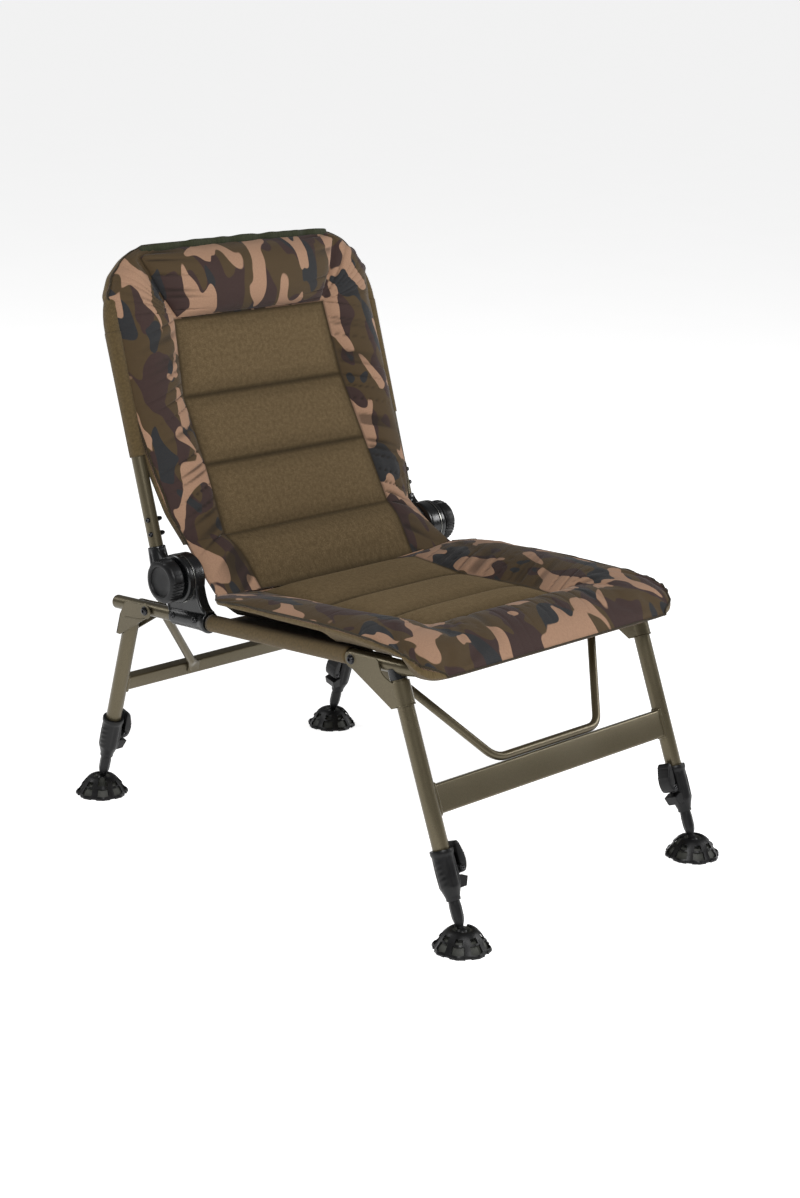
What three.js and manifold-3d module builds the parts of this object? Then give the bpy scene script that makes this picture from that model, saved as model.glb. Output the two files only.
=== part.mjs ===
// A low folding fishing chair: a tube seat frame and a tube back frame joined by two friction hinges
// with clamp knobs, a front and a rear leg frame that fold under the seat, legs that slide out under
// cam levers, swivelling mud feet, and a padded mattress with a pillow.
// Millimetres, +X to the sitter's left, +Y to the back, +Z up. The origin is on the floor, midway
// between the feet. Everything with a right and a left copy is built for the left and mirrored.
import * as THREE from 'three'
import { mergeVertices } from 'three/addons/utils/BufferGeometryUtils.js'
import Module from 'manifold-3d'

const wasm = await Module()
wasm.setup()

// Whole chair
const degree = Math.PI / 180
const legSpacing = 520
const footSpan = 827
const clearance = 0.4
const overrun = 60

// Seat frame: one tube, two rails and a front bar
const frameTubeRadius = 11
const frameTubeWall = 1.5
const railEndY = 362
const railEndZ = 340
const railRise = 4 * degree
const railLength = 694.7
const railBendRadius = 48
const plugDome = 3
const plugRim = 2
const plugDepth = 18

// Where things sit along the rail, from its rear end
const rearPivotSet = 85.7
const frontPivotInset = 137.8
const hingeSet = 170.4
const hingeRise = 64.3
const frontPivotSet = railLength - frontPivotInset

// Recline hinge
const discRadius = 38
const discThickness = 11.4
const discChamfer = 2
const discGap = 0.5
const hingeInset = 2
const studRadius = 4
const studHeadRadius = 8
const studHeadHeight = 4.5
const castingWall = 3.2
const castingFlare = 1.8
const castingFront = 57
const castingRear = 26
const castingNeckRear = 2
const castingBevel = 1.5
const knobRadius = 34.5
const knobThickness = 24
const knobBossRadius = 14
const knobBossHeight = 4
const knobBevel = 2.5
const knobRibDepth = 1
const knobRecessRadius = 23
const knobRecessDepth = 2.2
const knobBoreDepth = 19

// Back frame: one tube, two uprights and a top bar
const backLean = 17.7 * degree
const backTubeOut = 12
const backTubeSet = 38.2
const backTubeStart = 33
const backTubeTop = 504.5
const backBendRadius = 112
const socketTop = 54.6
const socketWall = 3.2
const socketStart = 24

// Leg frames. A leg's reach is from its pivot, along the rail, to the middle of the leg.
const ballHeight = 22
const frontLegReach = 76
const rearLegReach = 43.9
const legRadius = 12.5
const legWall = 1.5
const sheet = 2
const cheekRadius = 13
const cheekRise = 9
const cheekDrop = 14
const cheekCorner = 6
const saddlePlug = 15
const saddlePad = 4
const saddleRim = 3
const frontSleeveDrop = 38.8
const frontSleeveHeight = 36
const rearSleeveDrop = 35.7
const frontBarTop = 214
const frontBarHeight = 43
const frontBarDepth = 15
const rearBarTop = 201
const rearBarHeight = 25
const rearBarDepth = 17
const barCorner = 4
const barWall = 1.8
const braceRadius = 6.5
const braceFlat = 95
const braceBend = 34
const strutRadius = 7
const strutFoot = 115
const strutLugHeight = 16
const strutLugWidth = 24
const tabRadius = 10
const tabThickness = 4

// Pivot bolts
const boltRadius = 3.9
const boltHeadRadius = 6
const boltHeadHeight = 4
const boltNutRadius = 7
const boltNutHeight = 6

// Leg locks, inner legs and feet, measured up the leg from the centre of its ball
const housingBottom = 49
const housingHeight = 74
const housingRadius = 16.6
const housingNeckRadius = 10.6
const housingCollarHeight = 6
const housingTaper = 20
const housingStep = 18
const housingFlute = 1.3
const leverPinHeight = 90
const leverPinSet = 21.5
const leverPinRadius = 2.4
const leverPinHead = 3.6
const leverPinDome = 2
const leverTop = 136
const leverWidth = 24
const leverWall = 2.4
const leverBelly = 30
const leverEyeRadius = 6
const camCoverBottom = 64
const camCoverGap = 2
const camCoverSlope = 5
const innerLegRadius = 8
const innerLegWall = 1.5
const innerLegTop = 250
const guideHeight = 12
const ballRadius = 9.5
const ballNeckRadius = 5
const ballNeckLength = 17
const stemPlug = 22
const footRadius = 43.5
const footRim = 5
const footTop = 31
const footShell = 4
const socketLip = 3.5
const footLobes = 8
const footLobeDepth = 3
const footWindowWidth = 10
const footWindowDepth = 5
const frontFootTurn = 145 * degree
const rearFootTurn = -55 * degree

// Fabric. Heights are over the axis of the tube that carries the pad.
const slingThickness = 2
const sleeveThickness = 2.6
const backSlingStart = 196
const seatPadStart = 242.5
const seatPadOverhang = 21.3
const seatPadSpread = 45
const seatPadLoft = 40
const seatChannelLoft = 15
const backPadStart = 47.6
const backPadOverhang = 13.5
const backPadSpread = 4
const backPadLoft = 54
const backChannelLoft = 9
const fleeceWidth = 356
const padFloor = 1.5
const pocketDepth = 24
const tubeRoom = 1
const foldGap = 2.8
const foldLoft = 7
const pillowLoft = 38
const pillowHem = 2

// Finishes, by eye from the photograph
const finish = (color, roughness, metalness) => new THREE.MeshStandardMaterial({ color, roughness, metalness })
const paintedSteel = finish(0x5f5846, 0.42, 0.55)
const blackCasting = finish(0x17181a, 0.38, 0.1)
const blackPlastic = finish(0x1c1d1e, 0.55, 0)
const boltSteel = finish(0x0e0f10, 0.3, 0.7)
const brightSteel = finish(0x8f8f8a, 0.32, 0.9)
const oliveCanvas = finish(0x58482d, 0.9, 0)
const fleece = finish(0x5a4b2f, 0.95, 0)
const camouflage = finish(0x463823, 0.9, 0)
const pillowCloth = finish(0x3a2826, 0.9, 0)

// Points, directions and transforms
const X = new THREE.Vector3(1, 0, 0)
const Y = new THREE.Vector3(0, 1, 0)
const Z = new THREE.Vector3(0, 0, 1)
const sideways = new THREE.Matrix4().makeBasis(Y, Z, X)
const half = 1 / 2
const quarterTurn = Math.PI / 2
const fullTurn = Math.PI * 2
const railX = legSpacing * half
const backX = railX + backTubeOut
const legInner = legRadius - legWall

// A place on the rail's axis line: along it from the rear end, and up square to it.
const railForward = new THREE.Vector2(-Math.cos(railRise), Math.sin(railRise))
const railUp = new THREE.Vector2(Math.sin(railRise), Math.cos(railRise))
const onRail = (along, up = 0) =>
  new THREE.Vector2(railEndY, railEndZ).addScaledVector(railForward, along).addScaledVector(railUp, up)

const hinge = onRail(hingeSet, hingeRise)
const frontPivot = onRail(frontPivotSet)
const rearPivot = onRail(rearPivotSet)

// A place on the upright's axis line: up it from the point nearest the hinge, and ahead of it.
const backUp = new THREE.Vector2(Math.sin(backLean), Math.cos(backLean))
const backAhead = new THREE.Vector2(-Math.cos(backLean), Math.sin(backLean))
const onBack = (along, ahead = 0) =>
  hinge.clone().addScaledVector(backAhead, ahead - backTubeSet).addScaledVector(backUp, along)

const at = (x, place) => new THREE.Vector3(x, place.x, place.y)

// Closed geometry: shared corners merged, slivers dropped, faces out.
function closed(geometry) {
  const bare = new THREE.BufferGeometry().setAttribute('position', geometry.getAttribute('position'))
  if (geometry.index) bare.setIndex(geometry.index)
  const merged = mergeVertices(bare, weld)
  const index = merged.index.array
  const place = merged.getAttribute('position')
  const kept = []
  let volume = 0
  const [a, b, c] = [new THREE.Vector3(), new THREE.Vector3(), new THREE.Vector3()]
  for (let i = 0; i < index.length; i += 3) {
    const [p, q, r] = [index[i], index[i + 1], index[i + 2]]
    if (p === q || q === r || r === p) continue
    a.fromBufferAttribute(place, p)
    b.fromBufferAttribute(place, q)
    c.fromBufferAttribute(place, r)
    volume += a.dot(b.cross(c))
    kept.push(p, q, r)
  }
  if (volume < 0) kept.reverse()
  merged.setIndex(kept)
  return merged
}
const weld = 1e-3

const solidOf = (geometry) => {
  const mesh = closed(geometry)
  return new wasm.Manifold(new wasm.Mesh({
    numProp: 3,
    vertProperties: new Float32Array(mesh.getAttribute('position').array),
    triVerts: new Uint32Array(mesh.index.array),
  }))
}

const geometryOf = (solid) => {
  const mesh = solid.getMesh()
  return new THREE.BufferGeometry()
    .setAttribute('position', new THREE.BufferAttribute(mesh.vertProperties, 3))
    .setIndex(new THREE.BufferAttribute(mesh.triVerts, 1))
}

const join = (...parts) => geometryOf(parts.map(solidOf).reduce((whole, part) => whole.add(part)))
const cut = (body, ...tools) =>
  geometryOf(tools.map(solidOf).reduce((whole, tool) => whole.subtract(tool), solidOf(body)))

// Turned shapes: a profile of [radius, height] points, on an axis along Z or X.
const turned = (profile, sides) =>
  new THREE.LatheGeometry(profile.map(([r, h]) => new THREE.Vector2(r, h)), sides).rotateX(quarterTurn)
const turnedAlongX = (profile, sides) => turned(profile, sides).applyMatrix4(sideways)
const rod = (radius, from, to, sides) => turned([[0, from], [radius, from], [radius, to], [0, to]], sides)
const rodAlongX = (radius, from, to, sides) => rod(radius, from, to, sides).applyMatrix4(sideways)
const pipe = (outer, inner, from, to, sides) =>
  turned([[inner, from], [outer, from], [outer, to], [inner, to], [inner, from]], sides)

// A flat plate whose outline is drawn in the Y-Z plane, from one X to another.
function plate(outline, fromX, toX, bevel = 0) {
  const shape = outline instanceof THREE.Shape ? outline : new THREE.Shape(outline)
  const depth = toX - fromX - bevel * 2
  const bevelEnabled = bevel > 0
  const options = { depth, bevelEnabled, bevelThickness: bevel, bevelSize: bevel, bevelOffset: -bevel,
    bevelSegments: 1, curveSegments: arcSteps, steps: 1 }
  return new THREE.ExtrudeGeometry(shape, options).applyMatrix4(sideways).translate(fromX + bevel, 0, 0)
}
const arcSteps = 8

// A centreline with points only where the tube starts, ends or bends.
class BentLine extends THREE.Curve {
  constructor(corners, radius, bendSteps) {
    super()
    this.stops = [{ point: corners[0], tangent: corners[1].clone().sub(corners[0]).normalize() }]
    for (let i = 1; i < corners.length - 1; i++)
      this.bend(corners[i - 1], corners[i], corners[i + 1], radius, bendSteps)
    const [before, last] = corners.slice(-2)
    this.stops.push({ point: last, tangent: last.clone().sub(before).normalize() })
  }

  bend(before, corner, after, radius, bendSteps) {
    const enter = corner.clone().sub(before).normalize()
    const leave = after.clone().sub(corner).normalize()
    const turn = enter.angleTo(leave)
    const axis = enter.clone().cross(leave).normalize()
    const start = corner.clone().addScaledVector(enter, -radius * Math.tan(turn * half))
    const centre = start.clone().addScaledVector(axis.clone().cross(enter), radius)
    for (let k = 0; k <= bendSteps; k++) {
      const angle = turn * k / bendSteps
      const point = start.clone().sub(centre).applyAxisAngle(axis, angle).add(centre)
      this.stops.push({ point, tangent: enter.clone().applyAxisAngle(axis, angle) })
    }
  }

  get steps() { return this.stops.length - 1 }

  getPointAt(u, target = new THREE.Vector3()) {
    const place = Math.min(u * this.steps, this.steps)
    const i = Math.min(Math.floor(place), this.steps - 1)
    return target.copy(this.stops[i].point).lerp(this.stops[i + 1].point, place - i)
  }

  getTangentAt(u, target = new THREE.Vector3()) {
    return target.copy(this.stops[Math.round(u * this.steps)].tangent)
  }
}

// A round section, hollow where an inner radius is given, along a bent line.
function tubeAlong(line, outer, inner, sides) {
  const ring = (radius) => Array.from({ length: sides }, (_, i) =>
    new THREE.Vector2(Math.cos(fullTurn * i / sides), Math.sin(fullTurn * i / sides)).multiplyScalar(radius))
  const shape = new THREE.Shape(ring(outer))
  if (inner) shape.holes.push(new THREE.Path(ring(inner)))
  return new THREE.ExtrudeGeometry(shape, { extrudePath: line, steps: line.steps })
}

// The object, its groups and how a piece is added.
const group = new THREE.Group()
const leftSide = new THREE.Group()
const rightSide = new THREE.Group()
rightSide.scale.x = -1
group.add(leftSide, rightSide)

function add(parent, name, geometry, material) {
  const shown = closed(geometry)
  shown.computeVertexNormals()
  const mesh = new THREE.Mesh(shown, material)
  mesh.name = name
  parent.add(mesh)
  return mesh
}

function addBoth(name, geometry, material, { left, right } = { left: leftSide, right: rightSide }) {
  add(left, `${name}_left`, geometry, material)
  add(right, `${name}_right`, geometry, material)
}

// Seat frame
const tubeSides = 12
const bendSteps = 5
const seatLine = new BentLine(
  [at(-railX, onRail(0)), at(-railX, onRail(railLength)), at(railX, onRail(railLength)), at(railX, onRail(0))],
  railBendRadius, bendSteps)
const boltHole = (place) => rodAlongX(boltRadius + clearance, -overrun, overrun, arcSteps).translate(0, place.x, place.y)

function seatFrame() {
  const tube = tubeAlong(seatLine, frameTubeRadius, frameTubeRadius - frameTubeWall, tubeSides)
  const holes = []
  for (const x of [-railX, railX])
    for (const pivot of [frontPivot, rearPivot]) holes.push(boltHole(pivot).translate(x, 0, 0))
  return cut(tube, ...holes)
}

// Turns a piece built along Z at the origin to lie along the rail, pointing to its rear.
const alongRail = (geometry, x, place) =>
  geometry.rotateX(-quarterTurn - railRise).translate(x, place.x, place.y)

function railPlug() {
  const stem = frameTubeRadius - frameTubeWall - clearance
  const profile = [[0, -plugDepth], [stem, -plugDepth], [stem, clearance], [frameTubeRadius, clearance],
    [frameTubeRadius, plugRim], [frameTubeRadius * stepIn, plugRim + plugDome * stepIn], [0, plugRim + plugDome]]
  return alongRail(turned(profile, tubeSides), railX, onRail(0))
}
const stepIn = 0.75

// Recline hinge: the inner disc belongs to the seat, the outer one to the back.
const discInnerX = railX - hingeInset
const discSplitX = discInnerX + discThickness
const discOuterX = discSplitX + discGap + discThickness
const hingeDisc = (fromX, toX) => turnedAlongX([[0, fromX], [discRadius - discChamfer, fromX],
  [discRadius, fromX + discChamfer], [discRadius, toX - discChamfer], [discRadius - discChamfer, toX], [0, toX]],
roundSides).translate(0, hinge.x, hinge.y)
const roundSides = 20
const studHole = (fromX, toX) =>
  rodAlongX(studRadius + clearance, fromX, toX, arcSteps).translate(0, hinge.x, hinge.y)

// The lower casting is clamped round the rail, and its neck widens from the disc to its front rim.
function seatCasting() {
  const grip = frameTubeRadius + castingWall
  const rim = grip + castingFlare
  const front = hingeSet + castingFront
  const rear = hingeSet - castingRear
  const neck = new THREE.Shape()
  const place = (along, up) => onRail(along, up).toArray()
  neck.moveTo(...place(rear, 0))
  neck.lineTo(...place(hingeSet + castingNeckRear - discRadius * half, hingeRise - discRadius))
  neck.lineTo(...place(hingeSet, hingeRise))
  neck.lineTo(...place(hingeSet + discRadius - castingWall, hingeRise - castingWall))
  neck.quadraticCurveTo(...place(hingeSet + discRadius * neckSweep, grip + castingWall), ...place(front - castingWall, rim))
  neck.lineTo(...place(front, 0))
  neck.closePath()
  const grippedHalf = new THREE.Shape()
  grippedHalf.moveTo(...place(rear, grip - castingFlare))
  grippedHalf.lineTo(...place(rear - castingWall, 0))
  grippedHalf.lineTo(...place(rear, -grip + castingFlare))
  grippedHalf.lineTo(...place(front, -rim))
  grippedHalf.lineTo(...place(front, rim))
  grippedHalf.closePath()
  const clamp = plate(grippedHalf, railX - grip, railX + grip, castingBevel)
  const web = plate(neck, railX - grip + castingBevel, discSplitX)
  const railBore = alongRail(rod(frameTubeRadius + clearance, -overrun, railLength, tubeSides), railX, onRail(railLength))
  const headRoom = rodAlongX(studHeadRadius + clearance, 0, discInnerX, tubeSides).translate(0, hinge.x, hinge.y)
  return cut(join(hingeDisc(discInnerX, discSplitX), web, clamp), railBore, headRoom, studHole(0, railX + overrun))
}
const neckSweep = 1.05

// The upper casting has the socket that the upright stands in, and keeps clear of the lower disc.
function backCasting() {
  const outer = frameTubeRadius + socketWall
  const toUpright = (geometry) =>
    geometry.rotateX(-backLean).translate(backX, onBack(0).x, onBack(0).y)
  const socket = toUpright(turned([[0, socketStart], [outer, socketStart], [outer, socketTop - castingWall],
    [outer + castingFlare, socketTop - castingWall], [outer + castingFlare, socketTop], [0, socketTop]], tubeSides))
  const bore = toUpright(rod(frameTubeRadius + clearance, backTubeStart - clearance, socketTop + overrun, tubeSides))
  const arm = new THREE.Shape()
  arm.moveTo(...onBack(0, backTubeSet + discRadius * neckShare).toArray())
  arm.quadraticCurveTo(...onBack(discRadius, outer).toArray(), ...onBack(socketTop - castingWall, outer).toArray())
  arm.lineTo(...onBack(socketTop - castingWall, -outer * neckShare).toArray())
  arm.lineTo(...onBack(0, -castingFlare).toArray())
  arm.lineTo(...onBack(-discRadius * neckShare, backTubeSet - discRadius * neckShare).toArray())
  arm.closePath()
  const web = plate(arm, discSplitX + discGap, backX + outer - castingBevel)
  const lowerDisc = rodAlongX(discRadius + clearance + discGap, 0, discSplitX + discGap, roundSides)
    .translate(0, hinge.x, hinge.y)
  const knobSpace = rodAlongX(knobRadius + clearance * 2, discOuterX, discOuterX + overrun, roundSides)
    .translate(0, hinge.x, hinge.y)
  return cut(join(hingeDisc(discSplitX + discGap, discOuterX), web, socket), lowerDisc, knobSpace, bore,
    studHole(0, backX + overrun))
}
const neckShare = 0.7

function hingeStud() {
  const head = discInnerX - clearance
  return turnedAlongX([[0, head - studHeadHeight], [studHeadRadius, head - studHeadHeight], [studHeadRadius, head],
    [studRadius, head], [studRadius, discOuterX + knobBoreDepth], [0, discOuterX + knobBoreDepth]], arcSteps)
    .translate(0, hinge.x, hinge.y)
}

// Clamp knob: smooth lobes with finely ribbed zones between them, and a recessed face.
const knobLobes = 3
const ribsPerZone = 6
const smoothSteps = 4
function clampKnob() {
  const outline = []
  const zone = fullTurn / knobLobes
  const ribbed = zone * half
  const around = (angle, radius) =>
    outline.push(new THREE.Vector2(Math.cos(angle), Math.sin(angle)).multiplyScalar(radius))
  for (let lobe = 0; lobe < knobLobes; lobe++) {
    for (let rib = 0; rib < ribsPerZone; rib++) {
      around(zone * lobe + ribbed * rib / ribsPerZone, knobRadius)
      around(zone * lobe + ribbed * (rib + half) / ribsPerZone, knobRadius - knobRibDepth)
    }
    for (let step = 0; step < smoothSteps; step++)
      around(zone * lobe + ribbed + (zone - ribbed) * step / smoothSteps, knobRadius)
  }
  const start = discOuterX + knobBossHeight
  const body = plate(outline, start, start + knobThickness, knobBevel)
  const boss = rodAlongX(knobBossRadius, discOuterX + clearance, start + knobBevel, tubeSides)
  const recess = turnedAlongX([[0, start + knobThickness - knobRecessDepth],
    [knobRecessRadius - knobRecessDepth, start + knobThickness - knobRecessDepth],
    [knobRecessRadius, start + knobThickness], [knobRecessRadius, start + overrun], [0, start + overrun]], tubeSides)
  const bore = rodAlongX(studRadius + clearance, 0, discOuterX + knobBoreDepth + clearance, arcSteps)
  return cut(join(body, boss), recess, bore).translate(0, hinge.x, hinge.y)
}

// Back frame
const backLine = new BentLine(
  [at(-backX, onBack(backTubeStart)), at(-backX, onBack(backTubeTop)), at(backX, onBack(backTubeTop)),
    at(backX, onBack(backTubeStart))],
  backBendRadius, bendSteps)
const backFrame = () => tubeAlong(backLine, frameTubeRadius, frameTubeRadius - frameTubeWall, tubeSides)

// A bolt with a domed head outside and a nut inside, across one rail.
function pivotBolt(place) {
  const reach = legRadius + clearance + sheet + clearance
  const inner = -reach - tabThickness - clearance
  const profile = [[0, inner - boltNutHeight], [boltNutRadius, inner - boltNutHeight], [boltNutRadius, inner],
    [boltRadius, inner], [boltRadius, reach], [boltHeadRadius, reach],
    [boltHeadRadius * stepIn, reach + boltHeadHeight * stepIn], [0, reach + boltHeadHeight]]
  return turnedAlongX(profile, boltSides).translate(railX, place.x, place.y)
}
const boltSides = 10

// Leg frames. Their pieces are built in the leg's own frame: the origin is the ball's centre and Z
// runs up the leg, which leans by its own angle.
class LegFrame {
  constructor(end, footY, pivot, toLeg, legReach, sleeveDrop) {
    const crossing = pivot.clone().addScaledVector(toLeg, legReach)
    const turn = Math.atan2(footY - crossing.x, crossing.y - ballHeight)
    Object.assign(this, { end, footY, turn })
    this.left = new THREE.Group()
    this.right = new THREE.Group()
    this.middle = new THREE.Group()
    leftSide.add(this.left)
    rightSide.add(this.right)
    group.add(this.middle)
    for (const part of [this.left, this.right, this.middle]) {
      part.position.set(0, footY, ballHeight)
      part.rotation.x = turn
    }
    const local = (v) => new THREE.Vector2(v.x * Math.cos(turn) + v.y * Math.sin(turn),
      v.y * Math.cos(turn) - v.x * Math.sin(turn))
    this.pivot = local(pivot.clone().sub(new THREE.Vector2(footY, ballHeight)))
    this.forward = local(toLeg)
    this.up = local(railUp)
    this.reach = -this.pivot.x / this.forward.x
    this.crossing = this.pivot.y + this.forward.y * this.reach
    const rise = (frameTubeRadius + legRadius * Math.abs(this.forward.y)) / Math.abs(this.forward.x)
    this.legTop = this.crossing - rise - saddlePad
    this.sleeveBottom = this.legTop - sleeveDrop
  }

  // From the pivot: along the rail towards the leg, and up square to the rail.
  fromPivot(along, up) {
    return this.pivot.clone().addScaledVector(this.forward, along).addScaledVector(this.up, up)
  }

  railBore(radius) {
    const turnDown = Math.atan2(this.forward.x, this.forward.y)
    return rod(radius, -railLength, railLength, tubeSides).rotateX(-turnDown).translate(railX, this.pivot.x, this.pivot.y)
  }

  pivotHole() {
    return rodAlongX(boltRadius + clearance, -overrun, overrun, arcSteps).translate(railX, this.pivot.x, this.pivot.y)
  }

  legTube() {
    return pipe(legRadius, legInner, housingBottom + housingStep + clearance, this.legTop, tubeSides)
      .translate(railX, 0, 0)
  }

  // The moulded plug in the leg's top, hollowed to seat the rail.
  saddle() {
    const plug = legInner - clearance
    const low = this.legTop - saddlePlug
    const top = this.crossing - saddleRim
    const body = turned([[0, low], [plug, low], [plug, this.legTop + clearance], [legRadius, this.legTop + clearance],
      [legRadius, top], [0, top]], tubeSides).translate(railX, 0, 0)
    return cut(body, this.railBore(frameTubeRadius + clearance))
  }
}

const railBackward = railForward.clone().negate()
const frontLegs = new LegFrame('front', -footSpan * half, frontPivot, railForward, frontLegReach, frontSleeveDrop)
const rearLegs = new LegFrame('rear', footSpan * half, rearPivot, railBackward, rearLegReach, rearSleeveDrop)

const cheekInner = legRadius + clearance
const cheekOuter = cheekInner + sheet

// Round end of a cheek about the pivot, from below the rail to the cheek's top edge.
function cheekEnd(legs) {
  const points = []
  const sweep = quarterTurn + Math.asin(cheekRise / cheekRadius)
  for (let k = 0; k <= arcSteps; k++) {
    const angle = -quarterTurn - sweep * k / arcSteps
    points.push(legs.fromPivot(cheekRadius * Math.cos(angle), cheekRadius * Math.sin(angle)))
  }
  return points
}

const bothCheeks = (outline) =>
  [[cheekInner, cheekOuter], [-cheekOuter, -cheekInner]].map(([from, to]) => plate(outline, railX + from, railX + to))

// Front bracket: a cheek each side of the rail, a gusset, and a sleeve round the top of the leg.
function frontBracket() {
  const legs = frontLegs
  const sleeveTop = legs.sleeveBottom + frontSleeveHeight
  const cheekLength = legs.reach - legRadius - cheekDrop * half
  const outline = [
    ...cheekEnd(legs),
    legs.fromPivot(cheekLength - cheekCorner, cheekRise),
    legs.fromPivot(cheekLength - cheekCorner * cornerShare, cheekRise - cheekCorner * cornerShare),
    legs.fromPivot(cheekLength, cheekRise - cheekCorner),
    legs.fromPivot(cheekLength + cheekDrop * half, -cheekDrop),
    new THREE.Vector2(0, sleeveTop),
    new THREE.Vector2(0, legs.sleeveBottom),
    new THREE.Vector2(cheekOuter, legs.sleeveBottom),
  ]
  const sleeve = pipe(cheekOuter, cheekInner, legs.sleeveBottom, sleeveTop, tubeSides).translate(railX, 0, 0)
  const bore = rod(cheekInner, -overrun, legs.crossing + overrun, tubeSides).translate(railX, 0, 0)
  return cut(join(...bothCheeks(outline), sleeve), bore, legs.pivotHole())
}
const cornerShare = 0.3

// Rear bracket: two cheeks joined by a plate that wraps the rear of the leg.
function rearBracket() {
  const legs = rearLegs
  const underRail = legs.fromPivot(legs.reach + legRadius * half, -frameTubeRadius - clearance)
  const wrapTop = underRail.y - cheekDrop * half
  const outline = [
    ...cheekEnd(legs),
    legs.fromPivot(legs.reach - legRadius * half, cheekRise),
    legs.fromPivot(legs.reach + legRadius * half, cheekRise - sheet),
    new THREE.Vector2(cheekOuter, wrapTop),
    new THREE.Vector2(cheekOuter, legs.sleeveBottom),
    new THREE.Vector2(legRadius * half, legs.sleeveBottom + sheet),
  ]
  const wrap = plate([
    new THREE.Vector2(cheekInner, legs.sleeveBottom), new THREE.Vector2(cheekOuter, legs.sleeveBottom),
    new THREE.Vector2(cheekOuter, wrapTop), new THREE.Vector2(cheekInner, wrapTop)],
  railX - cheekOuter, railX + cheekOuter)
  return cut(join(...bothCheeks(outline), wrap), legs.pivotHole())
}

// A hollow bar across the legs, its section drawn square to it, with rounded corners.
function crossbar(top, height, depth) {
  const [w, h] = [depth * half, height * half]
  const corner = Math.min(barCorner, w * half)
  const shape = new THREE.Shape()
  shape.moveTo(-w + corner, -h)
  shape.lineTo(w - corner, -h)
  shape.quadraticCurveTo(w, -h, w, -h + corner)
  shape.lineTo(w, h - corner)
  shape.quadraticCurveTo(w, h, w - corner, h)
  shape.lineTo(-w + corner, h)
  shape.quadraticCurveTo(-w, h, -w, h - corner)
  shape.lineTo(-w, -h + corner)
  shape.quadraticCurveTo(-w, -h, -w + corner, -h)
  const bar = plate(shape, -railX, railX).translate(0, 0, top - h)
  const hollow = new THREE.BoxGeometry(legSpacing, depth - barWall * 2, height - barWall * 2).translate(0, 0, top - h)
  const leg = rod(legRadius + clearance, -overrun, top + overrun, tubeSides)
  return cut(bar, hollow, leg.clone().translate(railX, 0, 0), leg.clone().translate(-railX, 0, 0))
}

// An eye round the inner end of a pivot bolt, at the bracket's inner cheek.
const eyeOuter = railX - cheekOuter - clearance
const eyeInner = eyeOuter - tabThickness
const eye = (legs) => rodAlongX(tabRadius, eyeInner, eyeOuter, tubeSides).translate(0, legs.pivot.x, legs.pivot.y)
const nutRoom = (legs) =>
  rodAlongX(boltNutRadius + tubeRoom, eyeInner - overrun, eyeInner, tubeSides).translate(0, legs.pivot.x, legs.pivot.y)

// Front brace: one bent tube from eye to eye by way of the crossbar's top edge.
function frontBrace() {
  const seatZ = frontBarTop + braceRadius + clearance
  const corner = braceFlat + braceBend * half
  const end = at(eyeOuter - tabThickness * half, frontLegs.pivot)
  const mirrored = (v) => new THREE.Vector3(-v.x, v.y, v.z)
  const low = new THREE.Vector3(corner, 0, seatZ)
  const line = new BentLine([mirrored(end), mirrored(low), low, end], braceBend, bendSteps)
  const tube = tubeAlong(line, braceRadius, 0, braceSides)
  const room = new THREE.BoxGeometry(overrun, overrun * 2, overrun * 2)
    .translate(eyeOuter + overrun * half, frontLegs.pivot.x, frontLegs.pivot.y)
  const over = (geometry) => geometry.clone().rotateY(Math.PI).translate(0, 0, frontLegs.pivot.y * 2)
  const pair = (geometry) => [geometry, over(geometry)]
  return cut(join(cut(tube, ...pair(room), ...pair(nutRoom(frontLegs))), ...pair(eye(frontLegs))),
    ...pair(frontLegs.pivotHole()))
}
const braceSides = 8

// Rear strut: from the eye at the rear pivot to a lug on the front of the rear crossbar.
function rearStrut() {
  const front = -rearBarDepth * half - clearance
  const foot = new THREE.Vector3(strutFoot, front - strutRadius, rearBarTop - strutLugHeight * half)
  const top = at(eyeOuter - tabThickness * half, rearLegs.pivot)
  const line = new BentLine([top, foot], 0, 0)
  const lug = new THREE.BoxGeometry(strutLugWidth, sheet, strutLugHeight)
    .translate(strutFoot, front - sheet * half, rearBarTop - strutLugHeight * half)
  const room = new THREE.BoxGeometry(overrun, overrun * 2, overrun * 2)
    .translate(eyeOuter + overrun * half, rearLegs.pivot.x, rearLegs.pivot.y)
  const barSpace = new THREE.BoxGeometry(overrun * 2, overrun, overrun)
    .translate(strutFoot, front + overrun * half, rearBarTop)
  const tube = cut(tubeAlong(line, strutRadius, 0, braceSides), room, nutRoom(rearLegs))
  return cut(join(tube, eye(rearLegs), lug), barSpace, rearLegs.pivotHole())
}

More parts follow.
